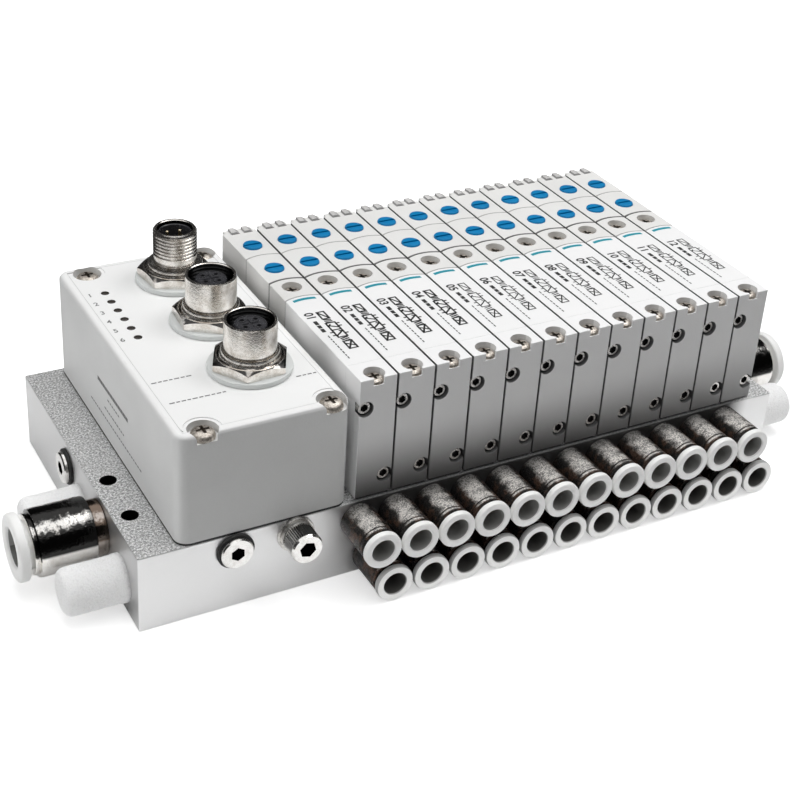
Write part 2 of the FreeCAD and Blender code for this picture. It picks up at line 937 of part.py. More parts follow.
def connector_seal_ring():
    inner = thread_radius + thread_fit
    return lathe([
        (inner, 0),
        (seal_ring_radius - seal_ring_edge, 0),
        (seal_ring_radius, seal_ring_edge),
        (seal_ring_radius, seal_ring_thickness - seal_ring_edge),
        (seal_ring_radius - seal_ring_edge, seal_ring_thickness),
        (inner, seal_ring_thickness),
    ])


def at_connectors(shapes):
    return [placed(shape, x, y, bus_top) for shape, (x, y) in zip(shapes, connector_places())]


def connector_contacts():
    female_contact_top = female_top - female_core_sink - female_contact_sink
    male_contact_top = male_top - male_contact_sink
    contacts = []
    for top in (female_contact_top, female_contact_top, male_contact_top):
        contacts.append(uprights(contact_points(), -thread_below, thread_below + top, contact_radius))
    pins = []
    for group, (x, y) in zip(contacts, connector_places()):
        pins += [placed(pin, x, y, bus_top) for pin in group]
    return pins


# Valves, modelled with the valve's left face, front face and top at zero


def area_behind(distance):
    # Everything behind a seam that runs across the valve as an arc bulging to the rear.
    side = 1
    far = valve_length * 2
    start = FreeCAD.Vector(-side, distance, 0)
    middle = FreeCAD.Vector(valve_centre, distance + seam_rise, 0)
    end = FreeCAD.Vector(valve_width + side, distance, 0)
    edges = [
        Part.Arc(start, middle, end).toShape(),
        Part.makeLine(end, FreeCAD.Vector(end.x, far, 0)),
        Part.makeLine(FreeCAD.Vector(end.x, far, 0), FreeCAD.Vector(start.x, far, 0)),
        Part.makeLine(FreeCAD.Vector(start.x, far, 0), start),
    ]
    face = Part.Face(Part.Wire(edges))
    return placed(face.extrude(FreeCAD.Vector(0, 0, valve_height)), 0, 0, -valve_height)


def valve_stretch(start, end):
    return block(0, start, -valve_height, valve_width, end - start, valve_height)


def mount_screw_cuts(distance):
    well = rod(valve_centre, distance, 0, screw_well_radius, screw_well_depth, (0, 0, -1))
    hole = rod(valve_centre, distance, 0, screw_shank_radius + screw_clearance, valve_height, (0, 0, -1))
    return [well, hole]


def cap_screw_places():
    return [
        (upper_cap_screw_from_left, -upper_cap_screw_below_top),
        (valve_width - lower_cap_screw_from_right, lower_cap_screw_above_bottom - valve_height),
    ]


def cap_screw_holes():
    hole = cap_screw_shank_radius + screw_clearance
    return [rod(x, 0, z, hole, cap_screw_length, (0, 1, 0)) for x, z in cap_screw_places()]


def valve_passages():
    # The supply and exhaust passages, as (distance from the valve's front) places on its centre line.
    return [y - valve_front for y in (supply_y,) + exhaust_ys]


def valve_end_cap():
    cap = valve_stretch(0, end_cap_length - joint_gap)
    cuts = mount_screw_cuts(front_screw_from_front) + cap_screw_holes()
    well_depth = cap_screw_sink + cap_screw_head_height
    cuts += [rod(x, 0, z, cap_well_radius, well_depth, (0, 1, 0)) for x, z in cap_screw_places()]
    notch_x = valve_centre - well_notch_width / 2
    cuts.append(block(notch_x, 0, -well_notch_depth, well_notch_width, front_screw_from_front, well_notch_depth))
    return cap.cut(cuts)


def valve_body():
    cuts = [area_behind(adapter_start)] + cap_screw_holes()
    bore = spool_radius + spool_clearance
    cuts.append(rod(valve_centre, end_cap_length, -spool_below_top, bore, spool_length, (0, 1, 0)))
    depth = valve_height - spool_below_top
    cuts += [rod(valve_centre, y, -valve_height, passage_radius, depth, (0, 0, 1)) for y in valve_passages()]
    return valve_stretch(end_cap_length, valve_length).cut(cuts)


def valve_adapter():
    piece = valve_stretch(end_cap_length, valve_length).common(area_behind(adapter_start + joint_gap))
    return piece.cut([area_behind(front_pilot_start)] + mount_screw_cuts(rear_screw_from_front))


def override_bore(distance):
    head_room = override_head_depth + override_travel + override_end_room
    stem_room = head_room + override_stem_length
    return [
        rod(valve_centre, distance, 0, override_head_radius + override_clearance, head_room, (0, 0, -1)),
        rod(valve_centre, distance, 0, override_stem_radius + override_clearance, stem_room, (0, 0, -1)),
    ]


def solenoid(seam, clearance):
    y = seam + solenoid_from_seam
    radius = solenoid_radius + clearance
    return rod(valve_centre, y, -solenoid_below_top, radius, solenoid_length, (0, 1, 0))


def front_pilot():
    piece = valve_stretch(adapter_start, valve_length).common(area_behind(front_pilot_start + pilot_seam_gap))
    cuts = [area_behind(rear_pilot_start), solenoid(front_pilot_start, solenoid_clearance)]
    return piece.cut(cuts + override_bore(front_override_from_front))


def rear_pilot():
    piece = valve_stretch(adapter_start, valve_length).common(area_behind(rear_pilot_start + joint_gap))
    nose_width = valve_width - 2 * nose_side_inset
    nose = block(nose_side_inset, valve_length, -nose_height, nose_width, nose_length, nose_height)
    cuts = [solenoid(rear_pilot_start, solenoid_clearance)] + override_bore(rear_override_from_front)
    cuts += [lamp_lens(x, lamp_clearance) for x in lamp_centres()]
    return piece.fuse(nose).cut(cuts)


def override_button():
    button = lathe([
        (0, -override_head_depth - override_stem_length),
        (override_stem_radius, -override_head_depth - override_stem_length),
        (override_stem_radius, -override_head_depth),
        (override_head_radius, -override_head_depth),
        (override_head_radius, override_proud - override_head_edge),
        (override_head_radius - override_head_edge, override_proud),
        (0, override_proud),
    ])
    slot_bottom = override_proud - override_slot_depth
    length = 2 * override_head_radius
    slot = block(-length / 2, -override_slot_width / 2, slot_bottom, length, override_slot_width, override_slot_depth)
    return button.cut(slot)


def lamp_centres():
    middle = valve_centre + lamp_offset
    return [middle - lamp_spacing / 2, middle + lamp_spacing / 2]


def lamp_lens(centre, clearance):
    # A raised bar whose top slopes down towards the right.
    left = centre - lamp_width / 2
    right = centre + lamp_width / 2
    front = valve_length + nose_length - lamp_rear_inset - lamp_length
    corners = [
        FreeCAD.Vector(left - clearance, front - clearance, -lamp_sink),
        FreeCAD.Vector(right + clearance, front - clearance, -lamp_sink),
        FreeCAD.Vector(right + clearance, front - clearance, 0),
        FreeCAD.Vector(left + lamp_flat_width + clearance, front - clearance, lamp_proud),
        FreeCAD.Vector(left - clearance, front - clearance, lamp_proud),
    ]
    face = Part.Face(Part.makePolygon(corners + corners[:1]))
    return face.extrude(FreeCAD.Vector(0, lamp_length + 2 * clearance, 0))


def valve_mount_screws():
    reach = valve_height - screw_well_depth + valve_gasket_thickness + screw_engagement
    screw = pan_screw(screw_head_radius, screw_head_height, screw_shank_radius, reach)
    return [placed(screw, valve_centre, distance, -screw_well_depth) for distance in mount_screw_places]


def valve_cap_screws():
    head = rod(0, 0, 0, cap_screw_head_radius, cap_screw_head_height, (0, 0, -1))
    shank = rod(0, 0, 0, cap_screw_shank_radius, cap_screw_length - cap_screw_sink, (0, 0, -1))
    key_hole = placed(hexagon(cap_screw_key, cap_screw_key_depth, 0), 0, 0, -cap_screw_key_depth)
    screw = point_along(head.fuse(shank).cut(key_hole), (0, -1, 0))
    return [placed(screw, x, cap_screw_sink, z) for x, z in cap_screw_places()]


def valve_gasket():
    inset = valve_gasket_inset
    bottom = -valve_height - valve_gasket_thickness
    width = valve_width - 2 * inset
    length = front_pilot_start - 2 * inset
    sheet = block(inset, inset, bottom, width, length, valve_gasket_thickness)
    holes = uprights([(valve_centre, y) for y in valve_passages()], bottom, valve_gasket_thickness, passage_radius)
    screw_hole = screw_shank_radius + screw_clearance
    screw_points = [(valve_centre, distance) for distance in mount_screw_places]
    holes += uprights(screw_points, bottom, valve_gasket_thickness, screw_hole)
    first = station_lefts()[0] + valve_gap / 2
    riser_points = [(x - first, y - valve_front) for x, y, start in risers()[:2]]
    holes += uprights(riser_points, bottom, valve_gasket_thickness, port_riser_radius)
    return sheet.cut(holes)


def valve_spool():
    gap = (spool_length - spool_land_count * spool_land) / (spool_land_count - 1)
    outline = [(0, 0), (spool_radius, 0)]
    height = 0
    for land in range(spool_land_count):
        height += spool_land
        outline.append((spool_radius, height))
        if land < spool_land_count - 1:
            outline.append((spool_groove_radius, height))
            height += gap
            outline.append((spool_groove_radius, height))
            outline.append((spool_radius, height))
    outline.append((0, height))
    spool = point_along(lathe(outline), (0, 1, 0))
    return placed(spool, valve_centre, end_cap_length, -spool_below_top)


def valve_solenoids():
    return [solenoid(front_pilot_start, 0), solenoid(rear_pilot_start, 0)]


def along_row(shapes):
    fitted = []
    for left in station_lefts():
        fitted += [placed(shape, left + valve_gap / 2, valve_front, valve_top) for shape in shapes]
    return fitted


def save_valves():
    save("valve_end_caps", along_row([valve_end_cap()]))
    save("valve_bodies", along_row([valve_body()]))
    save("valve_adapters", along_row([valve_adapter()]))
    save("valve_pilot_heads", along_row([front_pilot(), rear_pilot()]))
    save("valve_mount_screws", along_row(valve_mount_screws()))
    save("valve_cap_screws", along_row(valve_cap_screws()))
    save("valve_gaskets", along_row([valve_gasket()]))
    save("valve_lamp_lenses", along_row([lamp_lens(x, 0) for x in lamp_centres()]))
    save("valve_spools", along_row([valve_spool()]))
    save("valve_solenoids", along_row(valve_solenoids()))


def save_overrides():
    button = override_button()
    rows = (("front", front_override_from_front), ("rear", rear_override_from_front))
    for row, distance in rows:
        fitted = along_row([placed(button, valve_centre, distance, 0)])
        for number, solid in enumerate(fitted, start=1):
            save("override_%s_%02d" % (row, number), [solid])


def save_rail():
    save("manifold_rail", [rail()])
    save("link_board", [link_board()])
    save("fitting_bodies", at_ports(fitting_body()))
    save("fitting_release_rings", at_ports(release_ring()))
    save("fitting_tube_seals", at_ports(tube_seal()))
    save("fitting_grab_rings", at_ports(grab_ring()))
    save("supply_fitting_bodies", at_supply_ends(supply_fitting_body()))
    save("supply_tube_seals", at_supply_ends(supply_tube_seal()))
    left_ring, right_ring = at_supply_ends(supply_release_ring())
    save("supply_release_ring_left", [left_ring])
    save("supply_release_ring_right", [right_ring])
    save("silencers", silencers())
    save("port_plugs", at_plug_places(plug()))
    save("plug_seals", at_plug_places(plug_seal()))
    save("ground_screw", [at_ground_place(ground_screw())])
    save("ground_washers", [at_ground_place(washer) for washer in ground_washers()])


def save_bus_module():
    save("bus_housing", [bus_housing()])
    save("bus_faceplate", [bus_faceplate()])
    save("bus_gasket", [bus_gasket()])
    save("bus_screws", bus_screws())
    save("bus_circuit_board", [bus_circuit_board()])
    save("indicator_lenses", indicator_lenses())
    save("connector_shells", at_connectors([female_shell(), female_shell(), male_shell()]))
    save("connector_inserts", at_connectors([female_insert(), female_insert(), male_insert()]))
    save("connector_contacts", connector_contacts())
    save("connector_nuts", at_connectors([lock_nut(angle) for angle in connector_nut_angles]))
    save("connector_seal_rings", at_connectors([connector_seal_ring() for place in connector_places()]))


os.makedirs("parts", exist_ok=True)
save_rail()
save_bus_module()
save_valves()
save_overrides()
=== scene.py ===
import bpy
import math
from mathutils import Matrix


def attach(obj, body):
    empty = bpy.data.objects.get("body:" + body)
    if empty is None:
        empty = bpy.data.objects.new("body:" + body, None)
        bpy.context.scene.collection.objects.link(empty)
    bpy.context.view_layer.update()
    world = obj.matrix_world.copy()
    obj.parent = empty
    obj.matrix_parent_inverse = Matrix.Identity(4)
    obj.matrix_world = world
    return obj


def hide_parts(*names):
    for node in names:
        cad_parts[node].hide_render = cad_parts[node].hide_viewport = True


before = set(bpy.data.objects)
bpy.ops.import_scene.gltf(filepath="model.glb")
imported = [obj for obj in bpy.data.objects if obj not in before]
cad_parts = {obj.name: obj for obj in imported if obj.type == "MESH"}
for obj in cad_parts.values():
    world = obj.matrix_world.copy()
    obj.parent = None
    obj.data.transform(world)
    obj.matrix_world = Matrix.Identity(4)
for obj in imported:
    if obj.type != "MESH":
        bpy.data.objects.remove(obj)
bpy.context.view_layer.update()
mm = 0.001

# Everything below is modelled in millimetres and brought to metres by settle.
railBox = {"left": -97.9, "right": 97.9, "front": -46.25, "rear": 46.25, "top": 22.4}
row = {"start": -39.3, "pitch": 10.8, "count": 12, "gap": 0.5, "front": -45.5, "top": 58.0, "height": 35.1}
valveWidth = row["pitch"] - row["gap"]
valveMiddle = valveWidth / 2
stationLefts = [row["start"] + row["gap"] / 2 + number * row["pitch"] for number in range(row["count"])]
bus = {"left": -87.4, "right": -41.3, "bottom": 23.0, "top": 53.8, "corner": 3.5, "rim": 1.4, "filmEdge": 2.4,
       "filmDepth": 0.3}
# Where the finishes paint shade: both ends of a soft edge, or one place for a sharp one.
shades = {"shoulder": (-52.5, -47.0), "rowStart": (-44.0, -38.0), "rowEnd": (82.0, 90.0), "rail": (8.0, 20.0),
          "lowerRow": 11.0, "upperRow": 11.2, "foot": (21.5, 43.0), "lighter": (10.0, 88.0)}


# Modelling helpers

def deselectAll():
    if bpy.context.object and bpy.context.object.mode != "OBJECT":
        bpy.ops.object.mode_set(mode="OBJECT")
    bpy.ops.object.select_all(action="DESELECT")


def pick(*pieces):
    deselectAll()
    for piece in pieces:
        piece.select_set(True)
    bpy.context.view_layer.objects.active = pieces[0]


def applied():
    bpy.ops.object.transform_apply(location=True, rotation=True, scale=True)
    return bpy.context.object


def merged(*pieces):
    pick(*pieces)
    applied()
    if len(pieces) > 1:
        bpy.ops.object.join()
    return bpy.context.object


def block(low, high):
    deselectAll()
    bpy.ops.mesh.primitive_cube_add(size=1, location=[(a + b) / 2 for a, b in zip(low, high)])
    bpy.context.object.scale = [b - a for a, b in zip(low, high)]
    return applied()


def rod(start, radius, length, along="z", sides=48):
    turns = {"y": (-math.pi / 2, 0, 0), "z": (0, 0, 0)}
    middle = list(start)
    middle["xyz".index(along)] += length / 2
    deselectAll()
    bpy.ops.mesh.primitive_cylinder_add(vertices=sides, radius=radius, depth=length, location=middle,
                                        rotation=turns[along])
    return applied()


def spun(piece, degrees):
    # Turns the piece about the upright axis.
    piece.rotation_euler = (0, 0, math.radians(degrees))
    return merged(piece)


def clearChoice(piece):
    pick(piece)
    for parts in (piece.data.polygons, piece.data.edges, piece.data.vertices):
        for part in parts:
            part.select = False


def startEdit(points):
    bpy.context.tool_settings.mesh_select_mode = (points, not points, False)
    bpy.ops.object.mode_set(mode="EDIT")


def leaveEdit():
    bpy.ops.object.mode_set(mode="OBJECT")


def chooseEdges(piece, test):
    clearChoice(piece)
    for edge in piece.data.edges:
        ends = [piece.data.vertices[number] for number in edge.vertices]
        if test(*[end.co for end in ends]):
            edge.select = True
            for end in ends:
                end.select = True
    startEdit(points=False)


def choosePoints(piece, test):
    clearChoice(piece)
    for vertex in piece.data.vertices:
        vertex.select = bool(test(vertex.co))
    startEdit(points=True)


def softenEdges(piece, width, segments, test):
    chooseEdges(piece, test)
    bpy.ops.mesh.bevel(offset=width, segments=segments, affect="EDGES", clamp_overlap=True)
    leaveEdit()


def divideEdges(piece, cuts, test):
    chooseEdges(piece, test)
    bpy.ops.mesh.subdivide(number_cuts=cuts)
    leaveEdit()


def movePoints(piece, value, test):
    choosePoints(piece, test)
    bpy.ops.transform.translate(value=value)
    leaveEdit()


def adjust(item, **settings):
    for key, value in settings.items():
        setattr(item, key, value)


def modified(piece, kind, **settings):
    # Applies one modifier with these settings.
    pick(piece)
    adjust(piece.modifiers.new("change", kind), **settings)
    bpy.ops.object.modifier_apply(modifier="change")
    return piece


def soften(piece, width, segments=2, angle=40):
    return modified(piece, "BEVEL", width=width, segments=segments, limit_method="ANGLE",
                    angle_limit=math.radians(angle))


def shadeSoft(piece, angle=35, even=False):
    pick(piece)
    bpy.ops.object.shade_smooth_by_angle(angle=math.radians(angle))
    if even:
        modified(piece, "WEIGHTED_NORMAL", keep_sharp=True, weight=90)
    return piece


def carve(piece, cutter, operation="DIFFERENCE"):
    modified(piece, "BOOLEAN", object=cutter, operation=operation, solver="EXACT")
    bpy.data.objects.remove(cutter)
    return piece


def carveCross(piece, length, width, bottom, top):
    for x, y in ((length / 2, width / 2), (width / 2, length / 2)):
        carve(piece, block((-x, -y, bottom), (x, y, top)))


def markPaintedShade(piece, test, share=1.0):
    # Faces in holes, grooves and seams carry a mark, and the finishes paint shade there.
    marks = piece.data.attributes.get("inside")
    if not marks:
        marks = piece.data.attributes.new("inside", "FLOAT", "FACE")
    for face, mark in zip(piece.data.polygons, marks.data):
        if test(face.center, face.normal):
            mark.value = share
    return piece


def within(radius, low=-1000.0, high=1000.0, x=0, y=0):
    # True for faces nearer than the radius to the upright line through (x, y), between two heights.
    return lambda place, normal: math.hypot(place.x - x, place.y - y) < radius and low < place.z < high


def turned(outline, sides=48):
    # Draws a ring up through (radius, height) points; open ends are capped and doubled points merged.
    deselectAll()
    radius, height = outline[0]
    bpy.ops.mesh.primitive_circle_add(vertices=sides, radius=radius, location=(0, 0, height))
    piece = applied()
    startEdit(points=False)
    bpy.ops.mesh.select_all(action="SELECT")
    for nextRadius, nextHeight in outline[1:]:
        bpy.ops.mesh.extrude_region_move(TRANSFORM_OT_translate={"value": (0, 0, nextHeight - height)})
        share = nextRadius / radius
        bpy.ops.transform.resize(value=(share, share, 1), center_override=(0, 0, nextHeight))
        radius, height = nextRadius, nextHeight
    bpy.ops.mesh.select_all(action="SELECT")
    bpy.ops.mesh.remove_doubles(threshold=0.001)
    bpy.ops.mesh.fill_holes(sides=0)
    bpy.ops.mesh.select_all(action="SELECT")
    bpy.ops.mesh.normals_make_consistent(inside=False)
    leaveEdit()
    return shadeSoft(piece)


def stamped(source, places, turn=(0, 0, 0)):
    # One copy of the piece at each place, each with its own mesh, joined. A place may hold its own turn.
    copies = []
    for place in places:
        pick(source)
        bpy.ops.object.duplicate()
        copy = bpy.context.object
        copy.location = place[:3]
        copy.rotation_euler = place[3] if len(place) == 4 else turn
        copies.append(copy)
    bpy.data.objects.remove(source)
    return merged(*copies)


def wear(piece, look):
    piece.data.materials.clear()
    piece.data.materials.append(looks[look])


def settle(piece, name, look, node=None, body="island"):
    # Names the piece, brings it to metres, gives it its finish and its body, and hides the CAD node it
    # replaces.
    piece.name = name
    piece.data.name = name
    pick(piece)
    piece.scale = (mm, mm, mm)
    applied()
    wear(piece, look)
    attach(piece, body)
    if node:
        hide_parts(node)


# The turn that points a piece drawn along +Z out of each side.
outward = {"front": (math.pi / 2, 0, 0), "left": (0, -math.pi / 2, 0), "right": (0, math.pi / 2, 0)}


# Shader helpers

def feed(socket, value):
    if isinstance(value, Wire):
        socket.id_data.links.new(value.socket, socket)
    else:
        socket.default_value = value


def paint(value):
    # A wire stays as it is, one number is a grey, and three are a colour.
    if isinstance(value, Wire):
        return value
    if isinstance(value, tuple):
        return value + (1.0,)
    return (value, value, value, 1.0)


class Wire:
    def __init__(self, socket):
        self.socket = socket

    def maths(self, operation, first, second=0.0):
        node = self.socket.id_data.nodes.new("ShaderNodeMath")
        node.operation = operation
        feed(node.inputs[0], first)
        feed(node.inputs[1], second)
        return Wire(node.outputs[0])

    def __add__(self, other):
        return self.maths("ADD", self, other)

    __radd__ = __add__

    def __sub__(self, other):
        return self.maths("SUBTRACT", self, other)

    def __rsub__(self, other):
        return self.maths("SUBTRACT", other, self)

    def __mul__(self, other):
        return self.maths("MULTIPLY", self, other)

    __rmul__ = __mul__

    def __gt__(self, other):
        return self.maths("GREATER_THAN", self, other)

    def __lt__(self, other):
        return self.maths("LESS_THAN", self, other)

    def __abs__(self):
        return self.maths("ABSOLUTE", self)

    def most(self, other):
        return self.maths("MAXIMUM", self, other)

    def least(self, other):
        return self.maths("MINIMUM", self, other)


class Shader:
    # The nodes of a material or of the world.
    def __init__(self, tree):
        self.tree = tree

    def add(self, kind, settings=None, sockets=None, output=0):
        node = self.tree.nodes.new(kind)
        for key, value in (settings or {}).items():
            if key == "stops":
                self.stops(node.color_ramp.elements, value)
            else:
                setattr(node, key, value)
        for key, value in (sockets or {}).items():
            feed(node.inputs[key], value)
        return Wire(node.outputs[output])

    def stops(self, elements, stops):
        while len(elements) < len(stops):
            elements.new(1.0)
        for element, (position, value) in zip(elements, stops):
            element.position = position
            element.color = paint(value)

    def blend(self, share, first, second):
        sockets = {0: share, 6: paint(first), 7: paint(second)}
        return self.add("ShaderNodeMix", {"data_type": "RGBA"}, sockets, 2)

    def split(self, vector):
        node = self.tree.nodes.new("ShaderNodeSeparateXYZ")
        feed(node.inputs[0], vector)
        return [Wire(output) for output in node.outputs]

    def ray(self, kind):
        return self.add("ShaderNodeLightPath", output="Is %s Ray" % kind)


class Finish(Shader):
    def __init__(self, name, **sockets):
        self.material = bpy.data.materials.new(name)
        self.material.use_nodes = True
        super().__init__(self.material.node_tree)
        self.shader = self.tree.nodes["Principled BSDF"]
        self.place = self.add("ShaderNodeTexCoord", output="Object")
        for socket, value in sockets.items():
            self.set(socket.replace("_", " "), value)

    def set(self, socket, value):
        feed(self.shader.inputs[socket], value)

    def colour(self, value):
        self.set("Base Color", paint(value))

    def darken(self, share, colour):
        # Blends the colour so far towards another by the given share.
        plain = self.shader.inputs["Base Color"].links[0].from_socket
        self.colour(self.blend(share, Wire(plain), colour))
        return self

    def noise(self, perMetre, detail=2.0, roughness=0.5):
        sockets = {"Vector": self.place, "Scale": perMetre, "Detail": detail, "Roughness": roughness}
        return self.add("ShaderNodeTexNoise", None, sockets)

    def range(self, value, low, high, kind="LINEAR"):
        sockets = {"Value": value, "From Min": low, "From Max": high}
        return self.add("ShaderNodeMapRange", {"interpolation_type": kind}, sockets)

    def smooth(self, value, low, high):
        return self.range(value, low, high, "SMOOTHSTEP")

    def bump(self, height, distance):
        sockets = {"Height": height, "Distance": distance, "Strength": 1.0}
        self.set("Normal", self.add("ShaderNodeBump", None, sockets))

    def inside(self):
        # The share of painted shade marked on each face.
        return self.add("ShaderNodeAttribute", {"attribute_name": "inside"}, None, 2)

    def facing(self):
        return self.split(self.add("ShaderNodeNewGeometry", output="Normal"))

    def axes(self):
        # The place on the object in millimetres.
        return [part * 1000.0 for part in self.split(self.place)]


# Finishes: colours as one grey or three parts, noise per metre, bump in metres

def plasticFinish(name, light, dark, roughness, grain, depth, **sockets):
    # Moulded plastic: a fine eroded grain with faint cloudy tone, and painted shade on marked faces.
    finish = Finish(name, Roughness=roughness, **sockets)
    cloud = finish.noise(60.0, 3.0)
    fine = finish.noise(grain, 2.0, 0.6)
    finish.colour(finish.blend(finish.range(cloud * 0.7 + fine * 0.3, 0.3, 0.7), dark, light))
    finish.set("Roughness", roughness - 0.05 + fine * 0.12)
    finish.bump(fine, depth)
    return finish.darken(finish.inside() * 0.8, 0.05)


def metalFinish(name, light, dark, low, high, patch, grain, depth):
    # Plated metal: smooth skin with faint pits, patches of a duller tone, and painted shade on marked faces.
    finish = Finish(name, Metallic=1.0)
    cloud = finish.noise(patch, 3.0, 0.6)
    fine = finish.noise(grain, 3.0, 0.7)
    share = finish.range(cloud * 0.65 + fine * 0.35, 0.42, 0.66)
    finish.colour(finish.blend(share, light, dark))
    finish.set("Roughness", finish.range(fine, 0.3, 0.75) * (high - low) + low)
    finish.bump(fine, depth)
    return finish.darken(finish.inside(), 0.015)


def fittingFinish():
    # Dull nickel with a pitted skin: painted shade on its sides, a painted speckled highlight along the top,
    # and painted shade on marked faces.
    finish = Finish("nickelDull", Metallic=0.6)
    nx, ny, nz = finish.facing()
    cloud = finish.noise(420.0, 2.0)
    fine = finish.noise(2600.0, 4.0, 0.8)
    # A painted highlight, speckled, along the top, over sides in painted shade.
    paintedHighlight = finish.smooth(nz * 0.985 - nx * 0.17 + (cloud - 0.5) * 0.35, 0.76, 1.0)
    spots = finish.range(fine * 0.75 + cloud * 0.25, 0.4, 0.6)
    share = (paintedHighlight * (0.4 + spots * 0.95)).least(1.0)
    shadedFlanks = finish.blend(finish.smooth(cloud, 0.45, 0.6), (0.045, 0.042, 0.04), (0.12, 0.075, 0.055))
    finish.colour(finish.blend(share, shadedFlanks, (1.0, 0.965, 0.92)))
    finish.set("Roughness", 0.2 + spots * 0.14)
    finish.bump(fine, 0.00007)
    # The shoulders next to the rail lie in the shade of the valves.
    x, y, z = finish.axes()
    finish.darken(finish.smooth(y, *shades["shoulder"]) * 0.75, 0.03)
    return finish.darken(finish.inside(), 0.015)


def railFinish():
    # Bead-blasted and anodised: the top sparkles, the milled sides are smooth and mirror more.
    finish = Finish("railMetal")
    grains = finish.noise(1700.0, 3.0, 0.85)
    cloud = finish.noise(35.0, 3.0)
    nx, ny, nz = finish.facing()
    upward = nz > 0.5
    milled = finish.blend(cloud * 0.7 + grains * 0.3, 0.86, 0.97)
    # The left end gets painted shade.
    milled = finish.blend((nx < -0.5) * 0.3, milled, 0.35)
    finish.colour(finish.blend(upward, milled, finish.blend(finish.range(grains, 0.42, 0.6), 0.3, 1.0)))
    finish.set("Metallic", 0.85 - upward * 0.5)
    finish.set("Roughness", 0.36 + upward * 0.12 + grains * 0.06)
    finish.bump(grains * (0.25 + upward * 0.75), 0.00012)
    # The front is in shade behind the row of fittings.
    x, y, z = finish.axes()
    behind = finish.smooth(x, *shades["rowStart"]) * (1.0 - finish.smooth(x, *shades["rowEnd"]))
    behind *= y < row["front"] + 0.5
    finish.darken(behind * finish.smooth(z, *shades["rail"]) * 0.85, 0.04)
    # Marked faces in the mount holes get painted shade.
    return finish.darken(finish.inside(), 0.02)


def ringFinish():
    # White plastic; the lower row and the bores are in shade.
    finish = Finish("ringPlastic", Subsurface_Weight=0.15, Subsurface_Radius=(0.002, 0.002, 0.002),
                    Subsurface_Scale=0.3)
    cloud = finish.noise(300.0, 2.0)
    finish.colour(finish.blend(cloud, (0.92, 0.92, 0.9062), (0.97, 0.97, 0.95545)))
    finish.set("Roughness", 0.28 + cloud * 0.12)
    x, y, z = finish.axes()
    nx, ny, nz = finish.facing()
    lower = (z < shades["lowerRow"]) * (y < railBox["front"] + 0.25)
    finish.darken(lower * (0.7 - finish.smooth(abs(ny), 0.5, 0.9) * 0.58), 0.25)
    return finish.darken(finish.inside() * (0.9 - (z > shades["upperRow"]) * 0.22), (0.07, 0.068, 0.062))


def silencerFinish():
    # Sintered beads: a rounded grain with small dark pores.
    finish = Finish("silencerPlastic", Roughness=0.75)
    beads = finish.add("ShaderNodeTexVoronoi", {"feature": "F1"}, {"Vector": finish.place, "Scale": 2300.0})
    fine = finish.noise(900.0, 3.0, 0.65)
    finish.colour(finish.blend(finish.range(beads * 0.6 + fine * 0.6, 0.55, 0.95), 0.99, 0.9))
    finish.bump(1.0 - beads + fine * 0.8, 0.00016)
    return finish


def filmFinish():
    # Printed film with a slight sheen.
    finish = Finish("faceplateFilm", Roughness=0.4)
    fine = finish.noise(1800.0, 1.0)
    finish.colour(finish.blend(finish.noise(45.0, 3.0), (0.84, 0.845, 0.84), (0.89, 0.89, 0.885)))
    finish.set("Roughness", 0.36 + fine * 0.1)
    finish.bump(fine, 0.00002)
    return finish


def housingFinish():
    # The front gets painted shade and the top painted light, and a thin line of painted shade marks the
    # film's bed.
    finish = plasticFinish("housingPlastic", (0.77, 0.775, 0.77), (0.71, 0.715, 0.71), 0.5, 1900.0, 0.00004)
    x, y, z = finish.axes()
    nx, ny, nz = finish.facing()
    # Painted shade on the front, painted light on the top.
    finish.darken(finish.smooth(0.0 - ny, 0.5, 0.9) * 0.22, 0.12)
    finish.darken(finish.smooth(nz, 0.3, 0.9) * 0.85, (0.87, 0.87, 0.865))
    # A thin line of painted shade where the film's bed meets the top.
    middle, half = (bus["left"] + bus["right"]) / 2, (bus["right"] - bus["left"]) / 2
    past = (abs(x - middle) - (half - bus["filmEdge"])).most(abs(y) - (railBox["rear"] - bus["filmEdge"]))
    return finish.darken((past > -0.02) * (past < 0.12) * (z > bus["top"] - 0.1), 0.62)


def labelFinish():
    # The white printed field ahead of the third seam, and the front, with painted shade that deepens towards
    # its foot; marked wells and seams get painted shade too.
    finish = Finish("labelFilm", Roughness=0.42)
    finish.colour(finish.blend(finish.noise(80.0, 3.0), 0.86, 0.9))
    finish.bump(finish.noise(2200.0, 1.0), 0.00002)
    x, y, z = finish.axes()
    nx, ny, nz = finish.facing()
    # Painted shade on the front, deepening towards its foot and weaker to the right.
    front = ny < -0.5
    foot = front * (1.0 - finish.smooth(z, *shades["foot"]))
    finish.darken(foot * (0.9 - finish.smooth(x, *shades["lighter"]) * 0.3), 0.03)
    finish.darken(front * 0.24, 0.1)
    return finish.darken(finish.inside() * 0.85, 0.03)


def lensFinish():
    # Clear bars on the pilots: pale grey, with painted shade on their sides.
    finish = plasticFinish("lensWithPaintedShade", (0.74, 0.73, 0.72), (0.6, 0.59, 0.58), 0.15, 1500.0, 0.00002,
                           Coat_Weight=0.6)
    nx, ny, nz = finish.facing()
    return finish.darken((nz < 0.85) * 0.7, 0.16)


def nutFinish():
    # Bright nickel, with painted dark reflections in patches on the sloping faces.
    light, dark = (0.95, 0.92, 0.88), (0.62, 0.56, 0.5)
    finish = metalFinish("nickelNut", light, dark, 0.05, 0.2, 420.0, 1900.0, 0.00007)
    nx, ny, nz = finish.facing()
    sloping = (nz > 0.3) * (nz < 0.97)
    patches = finish.smooth(finish.noise(260.0, 1.0), 0.42, 0.52)
    return finish.darken(sloping * (0.35 + patches * 0.6), 0.02)


